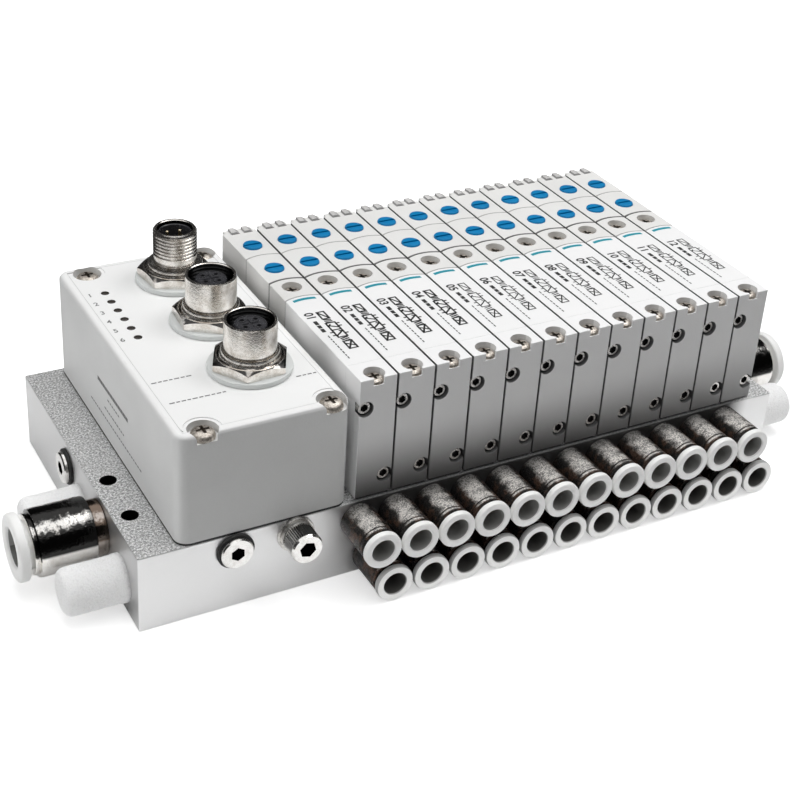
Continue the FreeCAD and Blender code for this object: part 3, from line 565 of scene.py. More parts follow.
def supplyFinish():
    # Polished chrome with painted dark reflections along its top and its lower side, and bronze on the collar
    # beside the rail.
    light, dark = (0.95, 0.935, 0.91), (0.85, 0.82, 0.78)
    finish = metalFinish("chromeBright", light, dark, 0.06, 0.2, 500.0, 700.0, 0.00012)
    nx, ny, nz = finish.facing()
    ragged = (finish.noise(700.0, 3.0, 0.7) - 0.5) * 0.5
    paintedFlankReflection = finish.smooth(nz, 0.06, 0.15) * (1.0 - finish.smooth(nz + ragged, 0.71, 0.86))
    paintedCrownReflection = (1.0 - finish.smooth(abs(ny) + ragged, 0.32, 0.5)) * (nz > 0.0)
    x, y, z = finish.axes()
    finish.darken(paintedFlankReflection.most(paintedCrownReflection) * 0.97, 0.012)
    collar = abs(x) < railBox["right"] + 3.2
    finish.darken(collar * 0.6, (0.3, 0.22, 0.17))
    # A band of the collar's sloping faces gets a painted dark reflection.
    return finish.darken(collar * (nz > 0.15) * (nz < 0.6) * 0.6, 0.05)


print("finishes")
# Light and dark tone, lowest and highest roughness, patches and grain per metre, bump.
metals = {
    "thread": ("nickelBright", (0.93, 0.9, 0.86), (0.6, 0.55, 0.49), 0.06, 0.24, 420.0, 1900.0, 0.00007),
    "chrome": ("chromePlain", (0.93, 0.92, 0.9), (0.76, 0.74, 0.71), 0.1, 0.24, 900.0, 1500.0, 0.00003),
    "steel": ("zincSteel", (0.8, 0.785, 0.76), (0.52, 0.5, 0.47), 0.2, 0.42, 900.0, 2200.0, 0.00005),
    "screwSteel": ("screwSteel", (0.9, 0.84, 0.76), (0.3, 0.25, 0.21), 0.32, 0.55, 1400.0, 2600.0, 0.00012),
    "gold": ("contactGold", (0.9, 0.8, 0.6), (0.7, 0.55, 0.32), 0.15, 0.35, 900.0, 3000.0, 0.00002),
}
# Light and dark tone, roughness, grain per metre, bump.
plastics = {
    "valve": ("valvePlastic", (0.8, 0.795, 0.78), (0.74, 0.735, 0.72), 0.45, 2100.0, 0.00003),
    "rubber": ("blackRubber", 0.035, 0.018, 0.6, 1500.0, 0.00004),
    "blackPlastic": ("blackPlastic", (0.055, 0.055, 0.06), (0.03, 0.03, 0.034), 0.25, 1800.0, 0.00003),
    "seal": ("paleSeal", (0.74, 0.76, 0.75), (0.66, 0.68, 0.67), 0.4, 1200.0, 0.00003),
    "board": ("boardGreen", (0.03, 0.22, 0.1), (0.02, 0.14, 0.06), 0.4, 800.0, 0.00004),
    "coil": ("coilTape", (0.5, 0.28, 0.1), (0.35, 0.18, 0.06), 0.45, 900.0, 0.00005),
    "ink": ("blackInk", 0.03, 0.015, 0.5, 1500.0, 0.00001),
    "paleInk": ("greyInk", 0.2, 0.15, 0.5, 1500.0, 0.00001),
    "teal": ("tealInk", (0.02, 0.3, 0.38), (0.01, 0.25, 0.33), 0.5, 1500.0, 0.00001),
}
finishes = {
    "rail": railFinish(),
    "nickel": fittingFinish(),
    "nut": nutFinish(),
    "supply": supplyFinish(),
    "ring": ringFinish(),
    "silencer": silencerFinish(),
    "film": filmFinish(),
    "label": labelFinish(),
    "housing": housingFinish(),
    "lens": lensFinish(),
    "blue": plasticFinish("bluePlastic", (0.003, 0.215, 0.48), (0.002, 0.165, 0.39), 0.45, 1500.0, 0.00003,
                          Specular_IOR_Level=0.25),
    "lamp": plasticFinish("darkLamp", (0.06, 0.05, 0.045), (0.02, 0.018, 0.016), 0.2, 1500.0, 0.00002,
                          Coat_Weight=0.5),
}
for makeFinish, table in ((metalFinish, metals), (plasticFinish, plastics)):
    for look, values in table.items():
        finishes[look] = makeFinish(*values)
looks = {look: finish.material for look, finish in finishes.items()}

# CAD nodes that stay as they are take a finish here.
keptNodes = {
    "film": ("bus_faceplate",),
    "rubber": ("bus_gasket", "fitting_tube_seals", "supply_tube_seals", "valve_gaskets"),
    "board": ("bus_circuit_board", "link_board"),
    "steel": ("fitting_grab_rings",),
    "chrome": ("valve_spools",),
    "coil": ("valve_solenoids",),
}
for look, nodes in keptNodes.items():
    for node in nodes:
        wear(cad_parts[node], look)


# Camera

cameraPlace = {"location": (-0.197416, -0.33792, 0.260312), "degrees": (61.18799, -3.53253, -28.58703),
               "lens": 71.06, "shift": (-0.01885, -0.1068)}
deselectAll()
bpy.ops.object.camera_add(location=cameraPlace["location"],
                          rotation=[math.radians(angle) for angle in cameraPlace["degrees"]])
camera = bpy.context.object
camera.name = "camera"
adjust(camera.data, lens=cameraPlace["lens"], sensor_width=36.0, clip_start=0.01, clip_end=20.0)
camera.data.shift_x, camera.data.shift_y = cameraPlace["shift"]
bpy.context.scene.camera = camera
bpy.context.scene.view_settings.view_transform = "Standard"


# Rail

print("rail")
rail = block((railBox["left"], railBox["front"], 0),
             (railBox["right"], railBox["rear"], railBox["top"]))
soften(rail, 0.3, 2)
mountHoles = {"xs": (-93.4, 93.4), "ys": (-28.6, -12.1), "radius": 2.25, "depth": 25}
for x in mountHoles["xs"]:
    for y in mountHoles["ys"]:
        carve(rail, rod((x, y, -1), mountHoles["radius"], mountHoles["depth"]))
        # The hole's wall gets painted shade.
        markPaintedShade(rail, within(mountHoles["radius"] + 0.05, x=x, y=y))
shadeSoft(rail, 12)
settle(rail, "rail", "rail", "manifold_rail")


# Push-in fittings: outlines are (radius, height) points, drawn along +Z from the rail's face

print("fittings")
fitting = {"rows": ((-38.42, 16.9), (-34.47, 5.3)), "inside": 4.2, "groove": (11.1, 11.4), "grooveReach": 4.9}
ports = [(firstX + row["pitch"] * number, railBox["front"], z) for firstX, z in fitting["rows"]
         for number in range(row["count"])]
fittingBody = turned([
    (1.9, -2.0), (3.5, -2.0), (3.5, 0.0), (4.75, 0.0), (4.95, 0.25), (4.95, 11.0), (4.82, 11.15),
    (4.82, 11.35), (4.95, 11.5), (4.95, 12.15), (4.75, 12.4), (3.98, 12.4), (3.98, 5.1), (3.02, 5.1),
    (3.02, 0.9), (1.9, 0.9), (1.9, -2.0)], 40)
# The bore and the groove get painted shade.
markPaintedShade(fittingBody, within(fitting["inside"]))
markPaintedShade(fittingBody, within(fitting["grooveReach"], *fitting["groove"]), 0.9)
settle(stamped(fittingBody, ports, outward["front"]), "fittingBodies", "nickel", "fitting_bodies")
ring = {"bore": 3.2, "start": 7.4, "sleeve": 3.9, "flangeBack": 13.35, "end": 15.15}
releaseRing = turned([
    (ring["bore"], ring["start"]), (ring["sleeve"], ring["start"]), (ring["sleeve"], ring["flangeBack"]),
    (4.95, ring["flangeBack"]), (5.2, 13.6), (5.2, 14.7), (5.05, 15.0), (4.75, ring["end"]),
    (3.65, ring["end"]), (3.35, 14.98), (ring["bore"], 14.65), (ring["bore"], ring["start"])], 40)
# The bore and the sleeve behind the flange get painted shade.
markPaintedShade(releaseRing, within(ring["bore"] + 0.05))
markPaintedShade(releaseRing, within(ring["sleeve"] + 0.8, ring["start"] - 0.4, ring["flangeBack"] + 0.05))
settle(stamped(releaseRing, ports, outward["front"]), "releaseRings", "ring",
       "fitting_release_rings")


# Supply fittings on the rail's ends

def atEnds(y, z):
    # The same place on the rail's left and right end.
    return [(railBox[side], y, z, outward[side]) for side in ("left", "right")]


supply = {"y": -18.7, "z": 13.7, "inside": 6.5, "bore": 5.1, "sleeve": 6.2, "start": 14.5, "back": 20.5,
          "end": 23.2}
supplyBody = turned([
    (3.0, -2.0), (3.85, -2.0), (3.85, 0.0), (7.2, 0.0), (7.45, 0.25), (7.45, 2.95), (7.3, 3.2), (8.2, 3.2),
    (8.72, 3.5), (8.9, 4.1), (8.9, 17.2), (8.72, 17.8), (8.2, 18.0), (7.7, 18.0), (7.7, 18.35), (8.0, 18.5),
    (8.0, 19.0), (7.85, 19.2), (6.28, 19.2), (6.28, 10.8), (5.02, 10.8), (5.02, 6.3), (3.0, 6.3),
    (3.0, -2.0)], 64)
# The bore gets painted shade.
markPaintedShade(supplyBody, within(supply["inside"]))
supplyEnds = atEnds(supply["y"], supply["z"])
settle(stamped(supplyBody, supplyEnds), "supplyBodies", "supply", "supply_fitting_bodies")
for end, side in zip(supplyEnds, ("left", "right")):
    supplyRing = turned([
        (supply["bore"], supply["start"]), (supply["sleeve"], supply["start"]),
        (supply["sleeve"], supply["back"]), (8.6, supply["back"]), (8.9, 20.8), (8.9, 22.5), (8.65, 22.95),
        (8.2, supply["end"]), (5.9, supply["end"]), (5.45, 22.95), (supply["bore"], 22.4),
        (supply["bore"], supply["start"])], 64)
    # The ring's bore gets painted shade.
    markPaintedShade(supplyRing, within(supply["bore"] + 0.05))
    settle(stamped(supplyRing, [end]), "supplyRing" + side.capitalize(), "ring",
           "supply_release_ring_" + side, "supply_release_ring_" + side)


# Silencers

silencer = turned([
    (2.4, -2.0), (3.45, -2.0), (3.45, 0.0), (6.3, 0.0), (6.4, 0.15), (6.4, 1.65), (6.3, 1.8), (6.2, 1.95),
    (6.2, 13.8), (6.03, 14.64), (5.55, 15.36), (4.84, 15.83), (4.0, 16.0)], 56)
exhausts = {"ys": (-34.8, -2.6), "z": 8.9}
silencerPlaces = [place for y in exhausts["ys"] for place in atEnds(y, exhausts["z"])]
settle(stamped(silencer, silencerPlaces), "silencers", "silencer", "silencers")


# Plugs, seals and the ground screw

print("plugs")


def keyed(piece, acrossFlats, top, depth, degrees=0):
    # Sinks a hexagon socket into the piece's top, with painted shade inside.
    hexagon = spun(rod((0, 0, top - depth), acrossFlats / math.sqrt(3), depth + 1, sides=6), degrees)
    carve(piece, hexagon)
    markPaintedShade(piece, within(acrossFlats * 0.6, top - depth - 0.01, top - 0.05), 0.9)
    return shadeSoft(piece, 30)


plugs = {"frontX": -72.5, "frontZ": 17.5, "endY": 8.0, "endZ": 15.4, "key": 3.4, "top": 2.1}
plugPlaces = [(plugs["frontX"], railBox["front"], plugs["frontZ"], outward["front"])]
plugPlaces += atEnds(plugs["endY"], plugs["endZ"])
plug = turned([
    (3.6, -2.0), (3.6, 0.9), (4.15, 0.9), (4.35, 1.1), (4.35, 1.75), (4.05, plugs["top"]),
    (3.25, plugs["top"])])
keyed(plug, plugs["key"], plugs["top"], depth=1.9)
settle(stamped(plug, plugPlaces), "portPlugs", "chrome", "port_plugs")
plugSeal = turned([
    (3.65, 0.0), (4.8, 0.0), (5.0, 0.2), (5.0, 0.7), (4.8, 0.9), (3.65, 0.9), (3.65, 0.0)])
settle(stamped(plugSeal, plugPlaces), "plugSeals", "rubber", "plug_seals")

# The knurl: every other point of the head's side is drawn in.
ground = {"x": -56.1, "z": 17.8, "seat": 2.3, "radius": 4.25, "top": 7.8, "key": 4.0, "sides": 88,
          "tooth": 0.945}
groundPlace = [(ground["x"], railBox["front"], ground["z"], outward["front"])]
groundHead = turned([
    (2.4, -2.0), (2.4, ground["seat"]), (4.0, ground["seat"]), (ground["radius"], 2.5),
    (ground["radius"], 6.9), (ground["radius"], 7.2), (3.9, ground["top"])], ground["sides"])


def onKnurl(place):
    return ground["seat"] + 0.1 < place.z < 7.0


def inTooth(place):
    return onKnurl(place) and round(math.atan2(place.y, place.x) / math.tau * ground["sides"]) % 2 == 0


choosePoints(groundHead, inTooth)
bpy.ops.transform.resize(value=(ground["tooth"], ground["tooth"], 1), center_override=(0, 0, 5))
leaveEdit()
# One side of each knurl tooth gets painted shade.
markPaintedShade(groundHead, lambda p, n: onKnurl(p) and p.x * n.y - p.y * n.x > 0.3, 0.9)
keyed(groundHead, ground["key"], ground["top"], depth=2.8, degrees=15)
settle(stamped(groundHead, groundPlace), "groundScrew", "chrome", "ground_screw")


def washer(start, end, radius, hole=2.55, rim=0.1):
    return turned([(hole, start), (radius - rim, start), (radius, start + rim), (radius, end - rim),
                   (radius - rim, end), (hole, end), (hole, start)])


flatWasher = washer(0.0, 1.0, 5.0)
springWasher = carve(washer(1.0, ground["seat"], 4.5), block((0, 0, 0.9), (5, 0.8, 2.4)))
washers = stamped(merged(flatWasher, springWasher), groundPlace)
settle(washers, "groundWashers", "steel", "ground_washers")


# Bus module housing

print("bus module")
housing = block((bus["left"], railBox["front"], bus["bottom"]),
                (bus["right"], railBox["rear"], bus["top"]))
softenEdges(housing, bus["corner"], 8, lambda a, b: abs(a.z - b.z) > 1)
softenEdges(housing, bus["rim"], 5, lambda a, b: min(a.z, b.z) > bus["top"] - 0.01)
busScrews = {"xs": (-79.8, -45.9), "ys": (-43.35, 41.95), "well": 3.9, "depth": 2.6}
busScrewPlaces = [(x, y, bus["top"] - busScrews["depth"]) for x in busScrews["xs"] for y in busScrews["ys"]]
for place in busScrewPlaces:
    carve(housing, rod(place, busScrews["well"], 5, sides=40))
connectors = {"x": -58.5, "ys": (-22.15, 3.85, 29.85), "hole": 8.06}
for y in connectors["ys"]:
    carve(housing, rod((connectors["x"], y, bus["top"] - 7), connectors["hole"], 9))
edge = bus["filmEdge"]
carve(housing, block((bus["left"] + edge, railBox["front"] + edge, bus["top"] - bus["filmDepth"]),
                     (bus["right"] - edge, railBox["rear"] - edge, bus["top"] + 1)))
shadeSoft(housing, 35, True)
settle(housing, "busHousing", "housing", "bus_housing")


def crossRecess(piece, width, top, depth):
    carveCross(piece, width, width / 4, top - depth, top + 1)
    nearArms = within(width * 0.55, top - depth)
    # The walls of the cross get painted shade.
    return shadeSoft(markPaintedShade(piece, lambda p, n: abs(n.z) < 0.5 and nearArms(p, n), 0.6), 35)


panHead = turned([
    (1.7, -2.0), (1.7, 0.0), (2.95, 0.0), (3.1, 0.2), (3.1, 0.75), (2.95, 1.25), (2.6, 1.7), (2.05, 2.02),
    (1.4, 2.18), (0.7, 2.2)], 40)
crossRecess(panHead, width=3.4, top=2.2, depth=1.4)
settle(stamped(panHead, busScrewPlaces), "busScrews", "screwSteel", "bus_screws")

lamps = {"x": -79.1, "firstY": 28.95, "pitch": 5.2, "count": 6}
lampPlaces = [(lamps["x"], lamps["firstY"] - lamps["pitch"] * number, bus["top"])
              for number in range(lamps["count"])]
lamp = turned([(1.1, -2.8), (1.1, 0.0), (0.95, 0.07), (0.6, 0.11), (0.25, 0.12)], 28)
settle(stamped(lamp, lampPlaces), "indicatorLenses", "lamp", "indicator_lenses")


# Round connectors, drawn with the housing's top at zero

print("connectors")


def threaded(outer, inner, start, end, pitch=1.0):
    # The zigzag of a thread from start to end, as (radius, height) points.
    points = []
    count = round(abs(end - start) / pitch)
    step = (end - start) / count
    for number in range(count):
        low = start + step * number
        points += [(outer, low), (outer, low + step * 0.18)]
        points += [(inner, low + step * 0.5), (inner, low + step * 0.62)]
    return points + [(outer, end)]


shellFoot = [(4.65, -7.0), (8.0, -7.0), (8.0, 4.35), (7.85, 4.7), (7.5, 4.7), (7.5, 5.65), (7.4, 5.8),
             (6.6, 5.8), (6.6, 6.1)]
shellHole = [(4.65, 1.5), (4.65, -7.0)]
femaleShell = turned(shellFoot + [
    (6.7, 6.1), (6.8, 6.2), (6.8, 13.95), (6.62, 14.2), (6.2, 14.2), (6.0, 14.05)]
    + threaded(5.95, 6.35, 13.8, 8.8) + [(5.9, 8.6), (5.9, 1.5)] + shellHole, 72)
maleShell = turned(shellFoot + [(5.95, 6.15), (6.0, 6.3)] + threaded(6.0, 5.5, 8.1, 15.1) + [
    (5.85, 15.4), (5.55, 15.8), (5.1, 15.8), (4.9, 15.6), (4.9, 1.5)] + shellHole, 72)
# The shells' bores get painted shade.
markPaintedShade(femaleShell, within(6.3, 0, 13.9))
markPaintedShade(maleShell, within(5.0, 0, 15.5))
seats = [(connectors["x"], y, bus["top"]) for y in connectors["ys"]]
shells = merged(stamped(femaleShell, seats[:2]), stamped(maleShell, seats[2:]))
settle(shells, "connectorShells", "thread", "connector_shells")

nut = {"flats": 18.2, "hole": connectors["hole"], "bottom": 1.5, "top": 4.2, "angles": (4, 26, 37)}
nuts = []
for seat, angle in zip(seats, nut["angles"]):
    envelope = turned([
        (nut["hole"], nut["bottom"]), (10.0, nut["bottom"]), (10.5, 1.75), (10.52, 3.2), (9.7, 3.75),
        (8.95, 4.15), (8.75, nut["top"]), (8.45, nut["top"]), (nut["hole"], 3.9),
        (nut["hole"], nut["bottom"])], 72)
    prism = spun(rod((0, 0, 1), nut["flats"] / math.sqrt(3), 4, sides=6), angle - 90)
    carve(envelope, prism, "INTERSECT")
    nuts.append(stamped(shadeSoft(envelope, 30), [seat]))
settle(merged(*nuts), "connectorNuts", "nut", "connector_nuts")

hole = connectors["hole"]
sealRing = turned([
    (hole, 0.0), (10.6, 0.0), (10.88, 0.12), (11.0, 0.45), (11.0, 1.05), (10.88, 1.38), (10.6, 1.5),
    (hole, 1.5), (hole, 0.0)], 72)
settle(stamped(sealRing, seats), "connectorSealRings", "seal", "connector_seal_rings")

contacts = {"circle": 2.5, "start": 37, "count": 4, "hole": 0.62}
keyAngle = 245
angles = [math.radians(contacts["start"] + 360 * number / contacts["count"])
          for number in range(contacts["count"])]
contactPlaces = [(contacts["circle"] * math.cos(angle), contacts["circle"] * math.sin(angle))
                 for angle in angles]


def femaleInsert():
    core = turned([
        (4.6, -7.0), (4.6, 1.5), (4.2, 1.5), (4.2, 12.65), (4.0, 12.95), (3.75, 12.95), (3.65, 12.75),
        (3.4, 12.75)])
    for x, y in contactPlaces:
        collar = turned([(0.95, 12.4), (0.95, 12.88), (0.88, 12.95)], 20)
        carve(core, stamped(collar, [(x, y, 0)]), "UNION")
    for x, y in contactPlaces:
        carve(core, rod((x, y, 9), contacts["hole"], 5, sides=20))
    carveCross(core, 4.4, 0.55, 12.5, 14)
    carve(core, spun(block((3.6, -0.55, 4), (6, 0.55, 14)), keyAngle))
    return shadeSoft(core, 30)


def maleInsert():
    cup = turned([(4.6, -7.0), (4.6, 14.6), (4.5, 14.8), (4.3, 14.6), (4.3, 7.8)])
    return merged(cup, spun(block((3.7, -0.45, 7.5), (4.45, 0.45, 14.3)), keyAngle))


inserts = merged(stamped(femaleInsert(), seats[:2]), stamped(maleInsert(), seats[2:]))
settle(inserts, "connectorInserts", "blackPlastic", "connector_inserts")
pin = turned([(0.5, 5.0), (0.5, 13.8), (0.42, 14.05), (0.2, 14.2)], 20)
sleeve = turned([(0.5, 8.0), (0.5, 11.5), (0.3, 11.5), (0.3, 10.0)], 16)
pinPlaces = [(seats[2][0] + x, seats[2][1] + y, seats[2][2]) for x, y in contactPlaces]
sleevePlaces = [(seat[0] + x, seat[1] + y, seat[2]) for seat in seats[:2] for x, y in contactPlaces]
contactPieces = merged(stamped(pin, pinPlaces), stamped(sleeve, sleevePlaces))
settle(contactPieces, "connectorContacts", "gold", "connector_contacts")


# Valves, drawn at the first station with the valve's left, front and top at zero

print("valves")
valve = {"cap": 8.25, "bodyStart": 8.3, "adapter": 44.2, "frontPilot": 54.7, "rearPilot": 70.6,
         "length": 88.6, "rise": 1.8, "gap": 0.05, "pilotGap": 0.35, "edge": 0.22, "columns": 12}
valvePlaces = [(left, row["front"], row["top"]) for left in stationLefts]
archRadius = ((valveMiddle + 1) ** 2 + valve["rise"] ** 2) / (2 * valve["rise"])


def archAt(x):
    # How far a seam bulges to the rear at x.
    return math.sqrt(archRadius ** 2 - (x - valveMiddle) ** 2) - archRadius + valve["rise"]


def seamAt(y, tilt=1.0):
    # True for the faces beside the arched seam at y, up to a tilt.
    def test(place, normal):
        atSeam = abs(place.y - y - archAt(place.x)) < 0.3
        return atSeam and abs(normal.y) > 0.2 and abs(normal.z) < tilt
    return test


def stretch(front, rear, arched=(), sharp=""):
    # A length of the valve; its arched ends bulge to the rear, and the end named in sharp keeps its edges.
    piece = block((0, front, -row["height"]), (valveWidth, rear, 0))
    divideEdges(piece, valve["columns"] - 1, lambda a, b: abs(a.x - b.x) > 1)
    for column in range(valve["columns"] + 1):
        x = valveWidth * column / valve["columns"]
        for y in arched:
            movePoints(piece, (0, archAt(x), 0), lambda p: abs(p.x - x) < 0.01 and abs(p.y - y) < 0.01)

    def corner(a, b):
        middle = (a + b) / 2
        long = abs(a.y - b.y) > 3 and abs(a.z) < 0.01
        upright = abs(a.z - b.z) > 3 and not 0.01 <= middle.x <= valveWidth - 0.01
        across = abs(a.z) < 0.01 and abs(b.z) < 0.01 and abs(a.x - b.x) > 0.1
        end = "front" if middle.y < front + 2.2 else "rear"
        if upright or across:
            return end != sharp
        return long
    softenEdges(piece, valve["edge"], 2, corner)
    # The side walls, which face the neighbours, get painted shade.
    markPaintedShade(piece, lambda p, n: abs(n.x) > 0.8)
    for y in arched:
        # The faces at each seam get painted shade; the seam ahead of the front pilot gets the darkest.
        markPaintedShade(piece, seamAt(y), 0.95 if abs(y - valve["frontPilot"]) < 0.4 else 0.6)
        markPaintedShade(piece, seamAt(y, 0.2))
    return piece


def finishValve(piece, name, look, node):
    # The walls between neighbours keep their painted shade; the two outermost ones are in the open and lose
    # it.
    whole = stamped(shadeSoft(piece, 12), valvePlaces)
    first, last = stationLefts[0] + 0.1, stationLefts[-1] + valveWidth - 0.1
    markPaintedShade(whole, lambda p, n: not first <= p.x <= last, 0.0)
    settle(whole, name, look, node)


screws = {"front": 2.9, "rear": 51.8, "well": 2.8, "wellDepth": 3.1, "notchWidth": 3.0, "notchDepth": 2.1}


def screwWell(piece, y):
    carve(piece, rod((valveMiddle, y, -screws["wellDepth"]), screws["well"], 5, sides=36))


endCap = stretch(0, valve["cap"], sharp="rear")
screwWell(endCap, screws["front"])
halfNotch = screws["notchWidth"] / 2
carve(endCap, block((valveMiddle - halfNotch, -1, -screws["notchDepth"]),
                    (valveMiddle + halfNotch, screws["front"], 1)))
capWells = {"places": ((1.75, -8.5), (8.25, -29.7)), "radius": 2.25}
for x, z in capWells["places"]:
    carve(endCap, rod((x, -1, z), capWells["radius"], 3.4, "y", 32))
    reach = capWells["radius"] + 0.01
    # The well's wall gets painted shade.
    markPaintedShade(endCap, lambda p, n: math.hypot(p.x - x, p.z - z) < reach and 0.01 < p.y < 3)
finishValve(endCap, "valveEndCaps", "label", "valve_end_caps")

body = stretch(valve["bodyStart"], valve["adapter"], [valve["adapter"]], "front")
finishValve(body, "valveBodies", "label", "valve_bodies")

adapterStart = valve["adapter"] + valve["gap"]
adapter = stretch(adapterStart, valve["frontPilot"], [adapterStart, valve["frontPilot"]])
screwWell(adapter, screws["rear"])
finishValve(adapter, "valveAdapters", "valve", "valve_adapters")

overrides = {"front": 63.4, "rear": 78.5, "bore": 2.83, "room": 4.2, "stemBore": 1.4, "stemRoom": 9.2}


def overrideBore(piece, y):
    for depth, radius in (("room", "bore"), ("stemRoom", "stemBore")):
        depth = overrides[depth]
        carve(piece, rod((valveMiddle, y, -depth), overrides[radius], depth + 2, sides=40))


pilotStart = valve["frontPilot"] + valve["pilotGap"]
frontPilot = stretch(pilotStart, valve["rearPilot"], [pilotStart, valve["rearPilot"]])
overrideBore(frontPilot, overrides["front"])
rearStart = valve["rearPilot"] + valve["gap"]
rearPilot = stretch(rearStart, valve["length"], [rearStart])
nose = block((0.75, valve["length"] - 0.5, -12), (valveWidth - 0.75, valve["length"] + 1.7, -0.001))
softenEdges(nose, 0.25, 2, lambda a, b: max(a.y, b.y) > valve["length"] + 1)
carve(rearPilot, nose, "UNION")
overrideBore(rearPilot, overrides["rear"])
lens = {"centres": (3.65, 7.65), "width": 2.6, "flat": 1.5, "front": 87.1, "rear": 90.1, "proud": 0.7,
        "sink": 1.5, "room": 0.05}
for centre in lens["centres"]:
    half = lens["width"] / 2 + lens["room"]
    carve(rearPilot, block((centre - half, lens["front"] - lens["room"], -lens["sink"]),
                           (centre + half, lens["rear"] + lens["room"], 1)))
pilots = merged(frontPilot, rearPilot)
finishValve(pilots, "valvePilotHeads", "valve", "valve_pilot_heads")


def lampLens(centre):
    # A raised bar whose top right edge is drawn down into a slope.
    left, right = centre - lens["width"] / 2, centre + lens["width"] / 2
    bar = block((left, lens["front"], -lens["sink"]), (right, lens["rear"], lens["proud"]))
    divideEdges(bar, 1, lambda a, b: abs(a.x - b.x) > 1 and a.z > 0)
    flatEnd = (lens["flat"] - lens["width"] / 2, 0, 0)
    movePoints(bar, flatEnd, lambda p: p.z > 0.1 and abs(p.x - centre) < 0.01)
    movePoints(bar, (0, 0, -lens["proud"]), lambda p: p.z > 0.1 and p.x > right - 0.01)
    return soften(bar, 0.1, 2, 25)


lensPair = merged(*[lampLens(centre) for centre in lens["centres"]])
finishValve(lensPair, "valveLampLenses", "lens", "valve_lamp_lenses")

mountScrew = turned([
    (1.15, -4.0), (1.15, 0.0), (2.35, 0.0), (2.5, 0.15), (2.5, 1.15), (2.38, 1.5), (2.05, 1.82), (1.5, 2.03),
    (0.8, 2.1)], 32)
crossRecess(mountScrew, width=3.0, top=2.1, depth=1.3)
screwPlaces = [(valveMiddle, y, -screws["wellDepth"]) for y in (screws["front"], screws["rear"])]
finishValve(stamped(mountScrew, screwPlaces), "valveMountScrews", "screwSteel", "valve_mount_screws")

capScrew = turned([
    (1.0, -8.0), (1.0, -1.6), (1.7, -1.6), (1.7, -0.15), (1.6, 0.0), (1.2, 0.0)], 28)
keyed(capScrew, 2.0, top=0.0, depth=1.0)
capPair = stamped(capScrew, [(x, 0.8, z) for x, z in capWells["places"]], outward["front"])
finishValve(capPair, "valveCapScrews", "steel", "valve_cap_screws")


# Manual overrides, each on its own body

def overrideButton():
    button = turned([
        (1.3, -7.6), (1.3, -2.6), (2.75, -2.6), (2.75, 0.33), (2.66, 0.48), (2.5, 0.55), (1.2, 0.55)], 40)
    return shadeSoft(carve(button, block((-2.6, -0.38, -0.3), (2.6, 0.38, 1))), 35)


for rowName in ("front", "rear"):
    for number, left in enumerate(stationLefts, start=1):
        node = "override_%s_%02d" % (rowName, number)
        place = (left + valveMiddle, row["front"] + overrides[rowName], row["top"])
        button = stamped(overrideButton(), [place])
        settle(button, "%sOverride%02d" % (rowName, number), "blue", node, node)


# Print: plain numbers, teal bars, flow symbols and dashes of thin ink

print("print")
ink = {"thickness": 0.03, "thick": 0.52, "thin": 0.36, "thickSymbols": 4, "symbolX": 6.0, "symbolStart": 15.4,
       "numberX": 2.5, "numberY": 34.9, "numberHeight": 3.6, "boldStart": 31.3, "boldEnd": 25.5,
       "fineStart": 23.6, "fineEnd": 11.2, "barRear": 1.8, "barWidth": 1.15, "barLength": 6.6}


def strokes(lines, width):
    # Each line becomes a thin bar of ink from one point to the other.
    bars = []
    for x1, y1, x2, y2 in lines:
        deselectAll()
        bpy.ops.mesh.primitive_plane_add(size=1, location=((x1 + x2) / 2, (y1 + y2) / 2, ink["thickness"]))
        bar = bpy.context.object
        bar.scale = (math.hypot(x2 - x1, y2 - y1) + width, width, 1)
        bar.rotation_euler = (0, 0, math.atan2(y2 - y1, x2 - x1))
        bars.append(bar)
    return merged(*bars)


def flowSymbol(width):
    # Two valve positions with flow arrows, a spring and a coil box at each end, and the port marks.
    # Lines run from (along, aside) to (along, aside) of the symbol's own middle line.
    lines = [(10.5, -1.3, 10.5, 1.3), (0.4, -1.15, 4.2, 1.15), (1.4, 1.15, 3.2, -1.15),
             (16.8, 1.0, 20.6, -1.0), (7.4, -1.3, 9.6, 1.3), (9.2, 1.3, 9.7, 0.5),
             (11.4, 1.3, 13.2, -1.3), (12.6, -1.3, 13.4, -0.5)]
    for start, end, half in ((0.4, 4.2, 1.15), (16.8, 20.6, 1.0), (6.6, 14.4, 1.3)):
        lines += [(start, side, end, side) for side in (-half, half)]
        lines += [(along, -half, along, half) for along in (start, end)]
    for step in (0.0, 0.8, 1.6):
        lines.append((4.2 + step, -0.9, 4.6 + step, 0.9))
        lines.append((14.4 + step, 0.8, 14.8 + step, -0.8))
    lines += [(along, 1.3, along, 2.1) for along in (8.2, 12.2, 13.6)]
    lines += [(along, -1.3, along, -2.1) for along in (7.8, 9.4)]
    x, y = ink["symbolX"], ink["symbolStart"]
    return strokes([(x + v1, y + u1, x + v2, y + u2) for u1, v1, u2, v2 in lines], width)


def dashRow(across, start, end, width, gap=0.41):
    # A row of uneven dashes along Y, from start down to end, where a plate would have small print.
    lengths = (0.9, 0.5, 0.7, 0.4, 0.9, 0.6)
    lines = []
    along = start
    while along > end:
        length = lengths[len(lines) % len(lengths)]
        lines.append((across, along, across, along - length))
        along -= length + width + gap
    return strokes(lines, width)


def tealBar():
    # A bar of teal that follows the third seam.
    deselectAll()
    bpy.ops.mesh.primitive_plane_add(size=1, location=(valveMiddle, valve["adapter"] - ink["barRear"],
                                                       ink["thickness"]))
    bpy.context.object.scale = (ink["barLength"], ink["barWidth"], 1)
    bar = applied()
    divideEdges(bar, 9, lambda a, b: abs(a.x - b.x) > 1)
    for x in sorted({round(vertex.co.x, 3) for vertex in bar.data.vertices}):
        movePoints(bar, (0, archAt(x), 0), lambda p: abs(p.x - x) < 0.01)
    return bar


